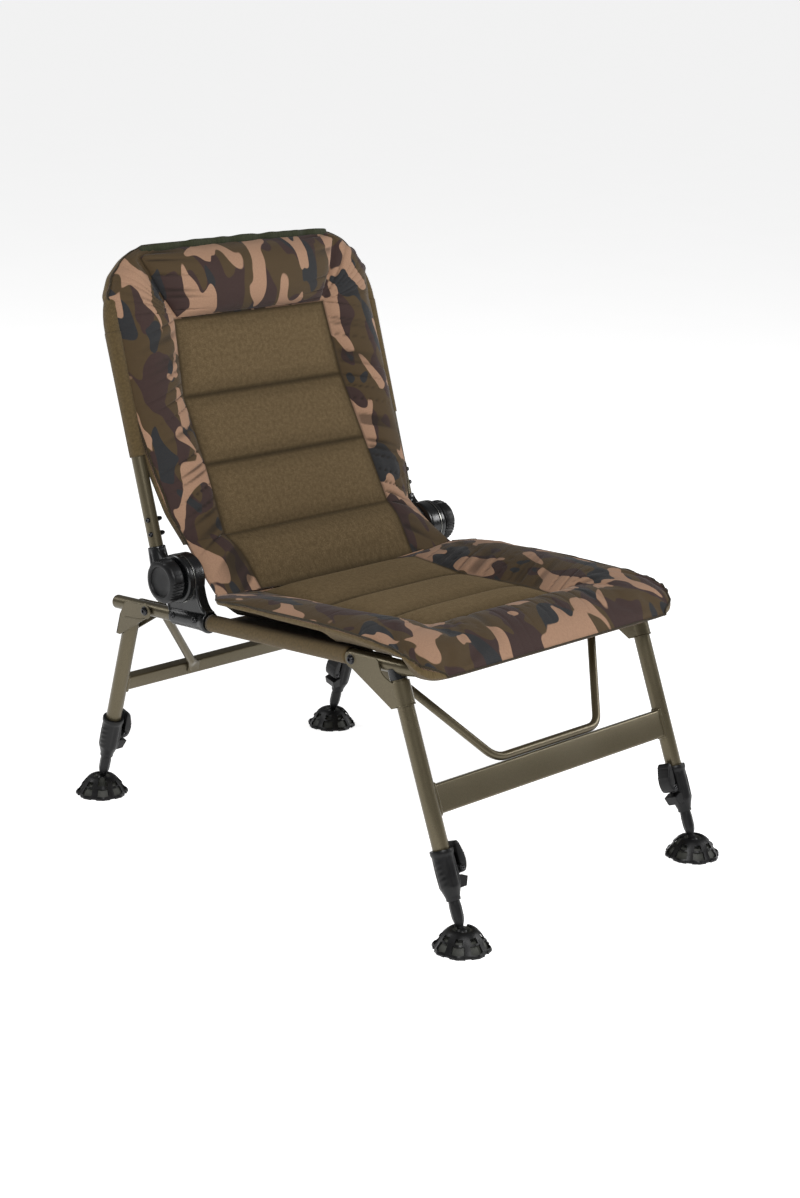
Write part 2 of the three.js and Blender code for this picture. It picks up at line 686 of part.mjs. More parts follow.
// Leg lock: a tapered, fluted collar moulding with ears and a cam cover on its inner side.
const housingTop = housingBottom + housingHeight
const upperBore = legRadius + clearance
const lowerBore = innerLegRadius + clearance
function clampHousing() {
  const shoulder = housingBottom + housingTaper
  const collar = housingTop - housingCollarHeight
  const body = turned([
    [0, housingBottom], [housingNeckRadius, housingBottom], [housingNeckRadius, housingBottom + housingCollarHeight],
    [housingRadius - housingFlute, shoulder], [housingRadius, shoulder + housingTaper], [housingRadius, collar],
    [housingRadius + housingFlute * half, collar + housingFlute], [housingRadius + housingFlute * half, housingTop],
    [0, housingTop]], fluteSides)
  fluted(body, shoulder, collar)
  const earSide = leverWidth * half - leverWall - clearance
  const pin = -leverPinSet
  const ear = new THREE.Shape()
  ear.moveTo(-housingRadius * half, leverPinHeight + leverEyeRadius)
  ear.lineTo(pin, leverPinHeight + leverEyeRadius - clearance)
  ear.lineTo(pin - leverEyeRadius + clearance, leverPinHeight)
  ear.lineTo(pin, leverPinHeight - leverEyeRadius)
  ear.lineTo(pin + leverEyeRadius, leverPinHeight - leverEyeRadius)
  ear.lineTo(-housingRadius * half, camCoverBottom)
  ear.closePath()
  const cover = new THREE.Shape()
  cover.moveTo(-housingRadius * half, leverPinHeight - leverEyeRadius - camCoverGap)
  cover.lineTo(-housingRadius, leverPinHeight - leverEyeRadius - camCoverGap)
  cover.lineTo(-leverBelly + leverWall, leverPinHeight - leverEyeRadius - camCoverGap - camCoverSlope)
  cover.lineTo(-leverPinSet, camCoverBottom)
  cover.lineTo(-housingRadius * half, camCoverBottom)
  cover.closePath()
  const ears = join(across(ear, earSide), across(cover, leverWidth * half))
  const bores = join(rod(upperBore, housingBottom + housingStep, overrun + housingTop, tubeSides),
    rod(lowerBore, 0, housingTop, tubeSides))
  const pinHole = acrossY(rod(leverPinRadius + clearance, -overrun, overrun, arcSteps))
    .translate(-leverPinSet, 0, leverPinHeight)
  return cut(join(body, ears), bores, pinHole)
}
const fluteSides = 12
const acrossY = (geometry) => geometry.rotateX(quarterTurn)

const fluteEvery = 2

// Every other corner of the collar's section is drawn in, as shallow flutes.
function fluted(body, from, to) {
  const place = body.getAttribute('position')
  for (let i = 0; i < place.count; i++) {
    const [x, y, z] = [place.getX(i), place.getY(i), place.getZ(i)]
    const turn = Math.round(Math.atan2(y, x) / fullTurn * fluteSides)
    const radius = Math.hypot(x, y)
    if (z < from || z > to || Math.abs(turn) % fluteEvery === 0 || radius < housingFlute) continue
    place.setXY(i, x * (radius - housingFlute) / radius, y * (radius - housingFlute) / radius)
  }
}

// A plate whose outline is drawn in the X-Z plane, as thick as twice the given half width.
const across = (shape, halfWidth) =>
  new THREE.ExtrudeGeometry(shape, { depth: halfWidth * 2, bevelEnabled: false, curveSegments: arcSteps, steps: 1 })
    .rotateX(quarterTurn).translate(0, halfWidth, 0)

// Cam lever: a channel that hugs the ears, with its pin and a finger tab above the collar.
function clampLever() {
  const [pinX, pinZ] = [-leverPinSet, leverPinHeight]
  const inner = -housingRadius - clearance - housingFlute
  const outer = new THREE.Shape()
  outer.moveTo(pinX + leverEyeRadius * half, pinZ + leverEyeRadius)
  outer.lineTo(pinX + leverEyeRadius - clearance, pinZ)
  outer.lineTo(pinX + leverEyeRadius * half, pinZ - leverEyeRadius + clearance)
  outer.lineTo(pinX - leverEyeRadius * half, pinZ - leverEyeRadius + clearance)
  outer.lineTo(-leverBelly, pinZ)
  outer.quadraticCurveTo(-leverBelly - leverWall, pinZ + leverEyeRadius * 2,
    -leverBelly + leverWall, (pinZ + leverTop) * half)
  outer.lineTo(inner - leverWall * 2, leverTop)
  outer.lineTo(inner - leverWall, leverTop + leverWall)
  outer.lineTo(inner, leverTop)
  outer.lineTo(inner, pinZ + leverEyeRadius)
  outer.closePath()
  const hollow = new THREE.Shape()
  hollow.moveTo(pinX + leverEyeRadius * 2, pinZ - leverEyeRadius * 2)
  hollow.lineTo(pinX - leverEyeRadius - clearance, pinZ - leverEyeRadius * 2)
  hollow.lineTo(pinX - leverEyeRadius - clearance, pinZ + leverEyeRadius + clearance)
  hollow.lineTo(inner - leverWall, pinZ + leverEyeRadius * 2)
  hollow.lineTo(inner - leverWall, leverTop - leverEyeRadius * 2)
  hollow.lineTo(pinX + leverEyeRadius * 2, leverTop - leverEyeRadius * 2)
  hollow.closePath()
  const channel = cut(across(outer, leverWidth * half), across(hollow, leverWidth * half - leverWall))
  const reach = leverWidth * half
  const pin = acrossY(turned([[0, -reach - leverPinDome], [leverPinHead * half, -reach - leverPinDome],
    [leverPinHead, -reach], [leverPinRadius, -reach], [leverPinRadius, reach], [leverPinHead, reach],
    [leverPinHead * half, reach + leverPinDome], [0, reach + leverPinDome]], arcSteps)).translate(pinX, 0, pinZ)
  return join(channel, pin)
}

// Inner leg: the tube that slides in the leg, with a guide collar at its top.
function innerLeg() {
  const inside = innerLegRadius - innerLegWall
  const guide = legInner - clearance
  return turned([[inside, housingBottom + clearance], [innerLegRadius, housingBottom + clearance],
    [innerLegRadius, innerLegTop - guideHeight], [guide, innerLegTop - guideHeight], [guide, innerLegTop],
    [inside, innerLegTop], [inside, housingBottom + clearance]], stemSides)
}
const stemSides = 12

// Ball stem: the moulded end plugged into the inner leg, a barrel, a neck and the ball.
function ballStem() {
  const profile = []
  const neckAngle = Math.acos(ballNeckRadius / ballRadius)
  for (let k = 0; k <= ballSteps; k++) {
    const angle = -quarterTurn + (neckAngle + quarterTurn) * k / ballSteps
    profile.push([ballRadius * Math.cos(angle), ballRadius * Math.sin(angle)])
  }
  const plug = innerLegRadius - innerLegWall - clearance
  profile.push([ballNeckRadius, ballNeckLength * ballNeckShare], [innerLegRadius, ballNeckLength + innerLegRadius],
    [innerLegRadius, housingBottom], [plug, housingBottom], [plug, housingBottom + stemPlug],
    [0, housingBottom + stemPlug])
  return turned(profile, stemSides)
}
const ballSteps = 5
const ballNeckShare = 0.75

// Mud foot: a domed dish with a scalloped rim, windows, a ball socket and a slot at its side.
const lobeSteps = 2
function mudFoot() {
  const cavity = ballRadius + socketRoom
  const lip = Math.sqrt(cavity * cavity - socketLip * socketLip)
  const floor = ballHeight - cavity - footShell
  const profile = [[0, floor], [cavity, floor], [footRadius * half, footTop - footShell * 2 - sheet],
    [footRadius - footShell * 2 - footRim, ballHeight * half],
    [footRadius - footShell, 0], [footRadius, 0], [footRadius, footRim], [footRadius - footRim * 2, footTop * half],
    [footRadius * half, footTop - footShell], [cavity + footShell, footTop], [lip, ballHeight + socketLip]]
  const start = Math.asin(socketLip / cavity)
  for (let k = 1; k <= socketSteps; k++) {
    const angle = start - (start + quarterTurn) * k / socketSteps
    profile.push([cavity * Math.cos(angle), ballHeight + cavity * Math.sin(angle)])
  }
  const dish = turned(profile, footLobes * lobeSteps)
  scalloped(dish)
  const slot = join(rod(cavity, 0, footRadius, stemSides).applyMatrix4(sideways).translate(0, 0, ballHeight),
    new THREE.BoxGeometry(footRadius, lip * 2, footTop).translate(footRadius * half, 0, ballHeight + footTop * half))
  const windows = []
  for (let lobe = 1; lobe < footLobes; lobe++)
    windows.push(new THREE.BoxGeometry(footWindowDepth, footWindowWidth, footTop)
      .translate(footRadius - footRim * 2 - footWindowDepth * half, 0, footTop * half + footRim)
      .rotateZ(fullTurn * lobe / footLobes))
  return cut(dish, slot, ...windows)
}
const socketRoom = 0.6
const socketSteps = 4

function scalloped(dish) {
  const place = dish.getAttribute('position')
  for (let i = 0; i < place.count; i++) {
    const [x, y] = [place.getX(i), place.getY(i)]
    const radius = Math.hypot(x, y)
    if (radius < footRadius * half) continue
    const outward = (radius - footRadius * half) / (footRadius * half)
    const wave = (1 - Math.cos(footLobes * Math.atan2(y, x))) * half
    const scale = (radius - footLobeDepth * outward * wave) / radius
    place.setXY(i, x * scale, y * scale)
  }
}

// Slings: a sleeve round the tube at each side and a woven panel between them.
function slingSection(sideX) {
  const outer = frameTubeRadius + clearance + sleeveThickness
  const web = slingThickness * half
  const edge = Math.asin(web / outer)
  const shape = new THREE.Shape()
  shape.absarc(sideX, 0, outer, -Math.PI + edge, Math.PI - edge, false)
  shape.absarc(-sideX, 0, outer, edge, fullTurn - edge, false)
  shape.closePath()
  for (const x of [-sideX, sideX])
    shape.holes.push(new THREE.Path().absarc(x, 0, frameTubeRadius + clearance, 0, fullTurn, true))
  return shape
}

function sling(sideX, length) {
  const options = { depth: length, bevelEnabled: false, curveSegments: slingSides, steps: 1 }
  return new THREE.ExtrudeGeometry(slingSection(sideX), options)
}
const slingSides = 8
const seatSlingStart = hingeSet + castingFront + castingWall
const seatSlingEnd = frontPivotSet - cheekRadius - sheet
const backSlingEnd = backTubeTop - backBendRadius - sheet
const seatSling = () => alongRail(sling(railX, seatSlingEnd - seatSlingStart), 0, onRail(seatSlingEnd))
const backSling = () => sling(backX, backSlingEnd - backSlingStart).rotateX(-backLean)
  .translate(0, onBack(backSlingStart).x, onBack(backSlingStart).y)

// Padding. A pad is a skin over rings that stand across the chair. A ring has a base on the tube's
// axis line, a direction square to it, and heights over it: its seam's, its edge's and its underside's.
const fleecePointShares = [0, 0.65, 0.95]
const borderPointShares = [0, 0.18, 0.55, 0.88]
const crownPower = 5
const rollPower = 0.6
function padRing({ base, up, width, fleece, seam, edge, under, hem, hemX, crown, reach, rise, power = crownPower }) {
  const place = (x, height) => new THREE.Vector3(x, base.x + up.x * height, base.y + up.y * height)
  const spots = [...fleecePointShares.map((share) => fleece * share),
    ...borderPointShares.map((share) => fleece + (width - fleece) * share)]
  const top = (x) => {
    const out = Math.max(0, (x - fleece) / (width - fleece))
    const roll = rise * Math.sin(Math.PI * out) ** rollPower
    const puff = crown * (1 - Math.min(1, x / reach) ** power)
    return seam - (seam - edge) * out * out + Math.max(roll, puff)
  }
  const low = (x) => x > hemX ? hem : under
  const inOut = [...spots.slice(1).reverse().map((x) => [-x, x]), ...spots.map((x) => [x, x])]
  const above = inOut.map(([x, out]) => place(x, top(out)))
  const below = inOut.map(([x, out]) => place(x, low(out))).reverse()
  return [place(-width, edge), ...above, place(width, edge), ...below]
}

// Joins rings of equal length into a closed skin with flat ends.
function skin(rings) {
  const count = rings[0].length
  const index = []
  for (let r = 0; r + 1 < rings.length; r++)
    for (let i = 0; i < count; i++) {
      const [a, b] = [r * count + i, r * count + (i + 1) % count]
      index.push(a, b, b + count, a, b + count, a + count)
    }
  const topCount = count * half + 1
  for (const [base, last] of [[0, false], [(rings.length - 1) * count, true]])
    for (let i = 0; i + 1 < topCount; i++) {
      const strip = [base + i, base + i + 1, base + count - i - 1, base + (count - i) % count]
      const [a, b, c, d] = last ? strip.reverse() : strip
      index.push(d, c, b, d, b, a)
    }
  return new THREE.BufferGeometry().setFromPoints(rings.flat()).setIndex(index)
}

// The value of a table of [share along, value] at one share.
function tween(table, share) {
  const next = Math.max(1, table.findIndex(([stop]) => stop >= share - weld))
  const [[from, before], [to, after]] = [table[next - 1], table[next]]
  return before + (after - before) * (share - from) / (to - from)
}

// Rows of a run of channels: each channel swells between its two seams.
const channelRowShares = [0, 0.15, 0.5, 0.85]
const channelRows = (seams, crown) => seams.slice(0, -1).flatMap((from, k) =>
  channelRowShares.map((share) => [from + (seams[k + 1] - from) * share, crown * Math.sin(Math.PI * share) ** half]))

// A pad in shares of its length, half width and loft.
function padRow(pad, share, crown, whole) {
  const fleece = fleeceWidth * half * tween(pad.fleeceShares, share)
  const width = fleece + (pad.halfWidth - fleeceWidth * half) * tween(pad.borderShares, share)
  const seam = pad.loft * tween(pad.seamShares, share)
  const edge = pad.loft * tween(pad.edgeShares, share)
  return padRing({ base: pad.base(pad.start + pad.length * share), up: pad.up, width, fleece, seam, edge,
    under: pad.loft * tween(pad.underShares, share), hem: Math.min(edge, seam) - pad.loft * pad.hemShare,
    hemX: pad.tubeX, crown, reach: whole ? width : fleece, rise: pad.loft * tween(pad.riseShares, share) })
}

// Room under a pad, square to the tube: between two tubes up to the sling, and over each tube's sleeve.
function padRoom(pad, end) {
  const block = (fromX, toX, ahead) => {
    const outline = [[-overrun, -overrun], [end, -overrun], [end, ahead], [-overrun, ahead]]
      .map(([along, height]) => pad.base(along).addScaledVector(pad.up, height))
    return plate(outline, fromX, toX)
  }
  const over = frameTubeRadius + clearance + sleeveThickness + padFloor
  const [inner, outer] = [pad.tubeX - pad.roomInside, pad.tubeX + pad.roomOutside]
  return join(block(-pad.tubeX, pad.tubeX, padFloor), block(inner, outer, over), block(-outer, -inner, over))
}

const seatPad = {
  start: seatPadStart,
  length: railLength + seatPadOverhang - seatPadStart,
  halfWidth: railX + seatPadSpread,
  loft: seatPadLoft,
  tubeX: railX,
  base: (along) => onRail(along),
  up: railUp,
  roomInside: cheekOuter + clearance * 2 + tabThickness + boltNutHeight + padFloor,
  roomOutside: cheekOuter + clearance + boltHeadHeight + padFloor,
  hemShare: 0.5,
  borderShares: [[0, 0.666], [0.06, 0.83], [0.133, 0.934], [0.263, 1.065], [0.533, 1.121], [0.718, 1.336],
    [0.86, 1.369], [0.932, 1.328], [0.975, 1.173], [1, 0.892]],
  fleeceShares: [[0, 0.93], [0.263, 0.83], [0.533, 0.84], [0.718, 0.76], [1, 0.7]],
  seamShares: [[0, 0.855], [0.263, 0.6125], [0.533, 0.5625], [0.718, 0.56], [0.88, 0.56], [0.95, 0.52], [0.98, 0.44],
    [1, 0.35]],
  edgeShares: [[0, 0.35], [0.263, 0.2], [1, 0.2]],
  underShares: [[0, 0.04], [0.895, 0.04], [0.905, -0.375], [0.96, -0.375], [0.985, -0.25], [1, 0]],
  riseShares: [[0, 0.15], [0.263, 0.36], [0.718, 0.38], [0.9, 0.36], [0.96, 0.2], [1, 0.05]],
}
const pocketSides = 10
const seatSeamShares = [0, 0.263, 0.533, 0.718]
const seatFrontShares = [[0.718, 0], [0.74, 0.7], [0.79, 1], [0.895, 0.9], [0.905, 0.85], [0.945, 0.6], [0.98, 0.25],
  [1, 0]]

function seatMattress() {
  const rows = channelRows(seatSeamShares, seatChannelLoft).map(([share, crown]) => padRow(seatPad, share, crown))
  for (const [share, crownShare] of seatFrontShares)
    rows.push(padRow(seatPad, share, seatChannelLoft * crownShare, true))
  const pocketStart = railLength - pocketDepth
  return cut(skin(rows), padRoom(seatPad, pocketStart), tubeAlong(seatLine, frameTubeRadius + tubeRoom, 0, pocketSides))
}

const backPad = {
  start: backPadStart,
  length: backTubeTop + backPadOverhang - backPadStart,
  halfWidth: backX + backPadSpread,
  loft: backPadLoft,
  tubeX: backX,
  base: (along) => onBack(along),
  up: backAhead,
  roomInside: frameTubeRadius + sleeveThickness + padFloor,
  roomOutside: frameTubeRadius + sleeveThickness + padFloor,
  hemShare: 0.35,
  borderShares: [[0, 0.634], [0.11, 0.845], [0.246, 0.961], [0.481, 1.091], [0.743, 1.169], [0.85, 0.86],
    [0.913, 0.508], [0.96, 0.148], [0.985, 0.337], [1, 0.287]],
  fleeceShares: [[0, 1], [0.246, 0.966], [0.481, 0.95], [0.743, 0.89], [0.96, 1.19], [1, 0.85]],
  seamShares: [[0, 0.989], [0.246, 0.604], [0.481, 0.169], [0.743, 0.215], [0.9, 0.28], [0.972, 0.28], [0.99, 0.2],
    [1, 0.1]],
  edgeShares: [[0, 0.7], [0.246, 0.4], [0.481, 0.15], [0.743, 0.15], [0.95, 0.12], [1, 0.05]],
  underShares: [[0, 0.48], [0.13, 0.26], [0.246, 0.1], [0.3, 0.028], [0.91, 0.028], [0.92, -0.278], [0.98, -0.278],
    [1, -0.1]],
  riseShares: [[0, 0.1], [0.246, 0.2], [0.481, 0.48], [0.743, 0.46], [0.9, 0.28], [0.96, 0.1], [1, 0.02]],
}
const backSeamShares = [0, 0.246, 0.481, 0.743]
const backTopShares = [0.743, 0.76, 0.85, 0.91, 0.92, 0.96, 0.985, 1]

function backMattress() {
  const rows = channelRows(backSeamShares, backChannelLoft).map(([share, crown]) => padRow(backPad, share, crown))
  for (const share of backTopShares) rows.push(padRow(backPad, share, 0))
  const pocketStart = backTubeTop - pocketDepth
  return cut(skin(rows), padRoom(backPad, pocketStart), tubeAlong(backLine, frameTubeRadius + tubeRoom, 0, pocketSides))
}

// The channel that bends between the seat and the back.
const foldRows = 5
function foldMattress() {
  const width = railX - frameTubeRadius - castingWall - foldGap
  const [from, to] = [onRail(seatPadStart - clearance), onBack(backPadStart - clearance)]
  const mix = (a, b, share) => a + (b - a) * share
  const atStart = (pad, table) => pad.loft * table[0][1]
  const [seatHigh, seatEdge] = [seatPad.seamShares, seatPad.edgeShares].map((table) => atStart(seatPad, table))
  const [backHigh, backEdge] = [backPad.seamShares, backPad.edgeShares].map((table) => atStart(backPad, table))
  const backLow = atStart(backPad, backPad.underShares)
  const fleeceShare = seatPad.fleeceShares[0][1]
  const rows = Array.from({ length: foldRows + 1 }, (_, k) => {
    const share = k / foldRows
    const under = mix(padFloor, backLow, share)
    const crown = foldLoft * Math.sin(Math.PI * share) ** half
    return padRing({ base: from.clone().lerp(to, share), up: railUp.clone().lerp(backAhead, share).normalize(),
      width, fleece: fleeceWidth * half * mix(fleeceShare, 1, share), seam: mix(seatHigh, backHigh, share),
      edge: mix(seatEdge, backEdge, share), under, hem: under, hemX: width, crown,
      reach: fleeceWidth * half, rise: foldLoft * half })
  })
  return skin(rows)
}

// Pillow: a roll that lies on the flat top of the back's mattress and is drawn in at its ends.
const pillowRowShares = [[0.748, 0.18], [0.76, 0.6], [0.8, 0.92], [0.85, 1], [0.91, 0.9], [0.92, 0.86], [0.96, 0.45],
  [0.983, 0.08]]
const pillowWidthShares = [[0.748, 0.55], [0.76, 0.565], [0.85, 0.655], [0.96, 0.74], [0.983, 0.62], [1, 0.55]]
const pillowFlatShare = 0.5
const pillowPower = 2.4
function pillow() {
  return skin(pillowRowShares.map(([share, crownShare]) => {
    const width = backPad.halfWidth * tween(pillowWidthShares, share)
    const under = backPad.loft * tween(backPad.seamShares, share) + clearance
    return padRing({ base: backPad.base(backPad.start + backPad.length * share), up: backPad.up, width,
      fleece: width * pillowFlatShare, seam: under + pillowHem, edge: under + pillowHem * half, under, hem: under,
      hemX: width, crown: pillowLoft * crownShare, reach: width, rise: 0, power: pillowPower })
  }))
}

// Seat and hinges
add(group, 'seat_frame_tube', seatFrame(), paintedSteel)
add(group, 'seat_sling', seatSling(), oliveCanvas)
add(group, 'mattress_seat', seatMattress(), camouflage)
addBoth('rail_plug', railPlug(), blackPlastic)
addBoth('seat_casting', seatCasting(), blackCasting)
addBoth('hinge_stud', hingeStud(), boltSteel)
addBoth('front_pivot_bolt', pivotBolt(frontPivot), boltSteel)
addBoth('rear_pivot_bolt', pivotBolt(rearPivot), boltSteel)
addBoth('knob', clampKnob(), blackPlastic)

// Back
add(group, 'back_frame_tube', backFrame(), paintedSteel)
add(group, 'back_sling', backSling(), oliveCanvas)
add(group, 'mattress_fold', foldMattress(), fleece)
add(group, 'mattress_back', backMattress(), camouflage)
add(group, 'pillow', pillow(), pillowCloth)
addBoth('back_casting', backCasting(), blackCasting)

// Leg frames
add(frontLegs.middle, 'front_crossbar', crossbar(frontBarTop, frontBarHeight, frontBarDepth), paintedSteel)
add(frontLegs.middle, 'front_brace', frontBrace(), paintedSteel)
add(rearLegs.middle, 'rear_crossbar', crossbar(rearBarTop, rearBarHeight, rearBarDepth), paintedSteel)
addBoth('front_bracket', frontBracket(), paintedSteel, frontLegs)
addBoth('rear_bracket', rearBracket(), paintedSteel, rearLegs)
addBoth('rear_strut', rearStrut(), paintedSteel, rearLegs)
const footTurns = { front: frontFootTurn, rear: rearFootTurn }
for (const legs of [frontLegs, rearLegs]) {
  const onLeg = (geometry) => geometry.translate(railX, 0, 0)
  addBoth(`${legs.end}_leg_tube`, legs.legTube(), paintedSteel, legs)
  addBoth(`${legs.end}_saddle`, legs.saddle(), blackPlastic, legs)
  addBoth(`clamp_housing_${legs.end}`, onLeg(clampHousing()), blackPlastic, legs)
  addBoth(`clamp_lever_${legs.end}`, onLeg(clampLever()), blackPlastic, legs)
  addBoth(`inner_leg_${legs.end}`, onLeg(innerLeg()), brightSteel, legs)
  addBoth(`ball_stem_${legs.end}`, onLeg(ballStem()), blackPlastic, legs)
  const foot = mudFoot().rotateZ(footTurns[legs.end]).translate(railX, legs.footY, 0)
  addBoth(`mud_foot_${legs.end}`, foot, blackPlastic)
}

export default group
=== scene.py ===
# %% [markdown]
# # A low folding chair for the water's edge
#
# The chair is a tube seat frame and a tube back frame joined by two friction hinges, on two leg
# frames that fold under the seat. A padded mattress of fleece with a camouflage border lies over
# both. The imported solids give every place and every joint, and this lesson dresses them: most
# pieces are worked out again as finer surfaces, and each gets a finish made of shader nodes.

# %% Open the frame
import math
import bmesh
import bpy
import numpy as np
from mathutils import Matrix


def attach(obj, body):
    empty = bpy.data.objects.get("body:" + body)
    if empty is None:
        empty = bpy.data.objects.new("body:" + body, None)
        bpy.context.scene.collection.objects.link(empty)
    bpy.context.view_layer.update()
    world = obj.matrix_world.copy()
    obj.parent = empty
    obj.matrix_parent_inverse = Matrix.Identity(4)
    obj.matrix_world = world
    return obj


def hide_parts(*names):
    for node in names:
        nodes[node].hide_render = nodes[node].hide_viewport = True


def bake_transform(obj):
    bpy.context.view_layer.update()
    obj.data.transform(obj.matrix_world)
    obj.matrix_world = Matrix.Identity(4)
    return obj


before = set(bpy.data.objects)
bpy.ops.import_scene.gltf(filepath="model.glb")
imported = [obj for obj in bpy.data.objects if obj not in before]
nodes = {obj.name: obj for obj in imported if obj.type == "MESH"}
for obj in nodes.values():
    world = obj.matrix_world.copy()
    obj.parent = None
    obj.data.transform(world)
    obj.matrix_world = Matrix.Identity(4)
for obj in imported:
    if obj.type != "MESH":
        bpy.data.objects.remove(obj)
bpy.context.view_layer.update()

# %% [markdown]
# ## Camera, floor and light
#
# The photograph was taken with a long lens from the front of the chair's right side, a little
# above the seat. A camera can be placed by eye, but here its axes and place are written out as
# a matrix, because they were worked out once from the feet and the frame. The floor is a plain
# pale sheet, and the light is three large soft panels and an even sky.

# %% Camera
photo_height = 1198
focal_pixels = 2301
camera_right = (0.71145, -0.70243, 0.02061)
camera_up = (0.17962, 0.21013, 0.96103)
camera_back = (-0.67939, -0.68002, 0.27567)
camera_place = (-2.44207, -2.45939, 1.36883)
lens = bpy.data.cameras.new("camera")
lens.sensor_fit = "VERTICAL"
lens.sensor_height = 36
lens.lens = focal_pixels / photo_height * lens.sensor_height
camera = bpy.data.objects.new("camera", lens)
bpy.context.scene.collection.objects.link(camera)
camera.matrix_world = Matrix(np.vstack([np.stack(
    [camera_right, camera_up, camera_back, camera_place], axis=1), [0, 0, 0, 1]]).tolist())
bpy.context.scene.camera = camera
print("lens of", round(lens.lens, 1), "mm")

# %% Meshes from arrays
def skin(grid, around=False, ends=False):
    """Points, four-cornered faces and end faces of a grid of rows by columns.
    around joins the last column to the first, and ends closes the first and the last row."""
    rows, columns = grid.shape[:2]
    index = np.arange(rows * columns).reshape(rows, columns)
    here, beside = (index, np.roll(index, -1, axis=1)) if around else (index[:, :-1], index[:, 1:])
    faces = np.stack([here[:-1], beside[:-1], beside[1:], here[1:]], axis=-1).reshape(-1, 4)
    return grid.reshape(-1, 3), faces, [index[0, ::-1], index[-1]] if ends else []


def put(name, skins, finishes, body=None, finish_of=None, marks=None, crease=38, merge=True):
    """Joins skins into one mesh object at the origin. finish_of gives each face's finish, marks are
    named arrays kept on the points, and edges sharper than crease degrees stay sharp."""
    starts = np.cumsum([0] + [len(points) for points, _, _ in skins])
    points = np.concatenate([part[0] for part in skins])
    faces = np.concatenate([part[1] + start for part, start in zip(skins, starts)]).tolist()
    faces += [(cap + start).tolist() for part, start in zip(skins, starts) for cap in part[2]]
    name = name.replace(" ", "_")
    mesh = bpy.data.meshes.new(name)
    mesh.from_pydata(points.tolist(), [], faces)
    for finish in finishes if isinstance(finishes, (list, tuple)) else [finishes]:
        mesh.materials.append(finish)
    if finish_of is not None:
        given = np.full(len(faces), finish_of[-1], np.int32)
        given[:len(finish_of)] = finish_of
        mesh.polygons.foreach_set("material_index", given)
    for mark, values in (marks or {}).items():
        kind = "FLOAT" if values.ndim == 1 else "FLOAT_VECTOR"
        field = "value" if values.ndim == 1 else "vector"
        mesh.attributes.new(mark, kind, "POINT").data.foreach_set(field, values.astype(np.float32).ravel())
    work = bmesh.new()
    work.from_mesh(mesh)
    if merge:
        bmesh.ops.remove_doubles(work, verts=work.verts, dist=1e-6)
    bmesh.ops.recalc_face_normals(work, faces=work.faces)
    work.to_mesh(mesh)
    work.free()
    mesh.polygons.foreach_set("use_smooth", np.ones(len(mesh.polygons), bool))
    mesh.set_sharp_from_angle(angle=math.radians(crease))
    piece = bpy.data.objects.new(name, mesh)
    bpy.context.scene.collection.objects.link(piece)
    if body:
        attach(piece, body)
    return piece


def other_side(part):
    """The same skin on the chair's other side: x changes its sign and each face turns round."""
    points, faces, caps = part
    return points * (-1, 1, 1), faces[:, ::-1], [cap[::-1] for cap in caps]


def points_of(piece):
    """The places of a piece's points as an array of rows of three."""
    flat = np.empty(len(piece.data.vertices) * 3, np.float32)
    piece.data.vertices.foreach_get("co", flat)
    return flat.reshape(-1, 3).astype(float)


def normals_of(piece):
    """The direction in which each point of a piece faces, as rows of three."""
    flat = np.empty(len(piece.data.vertices) * 3, np.float32)
    piece.data.vertex_normals.foreach_get("vector", flat)
    return flat.reshape(-1, 3)


def finished_mesh(piece):
    """A new mesh that has the piece's modifiers worked in."""
    bpy.context.view_layer.update()
    return bpy.data.meshes.new_from_object(piece.evaluated_get(bpy.context.evaluated_depsgraph_get()))


# %% Floor and light
half_floor = 120.0
floor_grid = np.stack(np.meshgrid([-half_floor, half_floor], [-half_floor, half_floor]) + [np.zeros((2, 2))], -1)


def lamp(name, size, power, place, aim):
    """A square panel of light, size metres wide, turned so that it shines from place to aim."""
    data = bpy.data.lights.new(name, "AREA")
    data.shape, data.size, data.energy = "SQUARE", size, power
    panel = bpy.data.objects.new(name, data)
    bpy.context.scene.collection.objects.link(panel)
    back = np.subtract(place, aim) / np.linalg.norm(np.subtract(place, aim))
    right = np.cross((0, 0, 1), back) / np.linalg.norm(np.cross((0, 0, 1), back))
    turn = np.eye(4)
    turn[:3] = np.stack([right, np.cross(back, right), back, place], axis=1)
    panel.matrix_world = Matrix(turn.tolist())
    return panel


middle = (0.0, 0.0, 0.4)
lamp("key panel", 1.2, 120, (-1.9, -2.9, 3.3), middle)
lamp("fill panel", 1.2, 52, (3.1, -2.0, 1.9), middle)
lamp("back panel", 1.4, 54, (-2.0, 2.9, 3.0), middle)
sky = bpy.data.worlds.new("sky")
sky.use_nodes = True
sky.node_tree.nodes["Background"].inputs["Color"].default_value = (1, 1, 1, 1)
sky.node_tree.nodes["Background"].inputs["Strength"].default_value = 0.20
bpy.context.scene.world = sky
bpy.context.scene.view_settings.view_transform = "Standard"
print("panels of light: 3")

# %% [markdown]
# ## Finishes
#
# Paint, moulded plastic, fleece and printed cloth differ in colour, in gloss and in their fine
# relief. Each could be a photograph wrapped on the mesh, but a finish made of noise and waves
# works at any size and on any piece. The small class below keeps the node trees readable.

# %% A small class for shader nodes
def colour(red, green, blue):
    """A screen colour, 0 to 255, as the linear colour that a shader reads."""
    share = np.array([red, green, blue]) / 255
    linear = np.where(share <= 0.04045, share / 12.92, ((share + 0.055) / 1.055) ** 2.4)
    return (*linear.tolist(), 1)


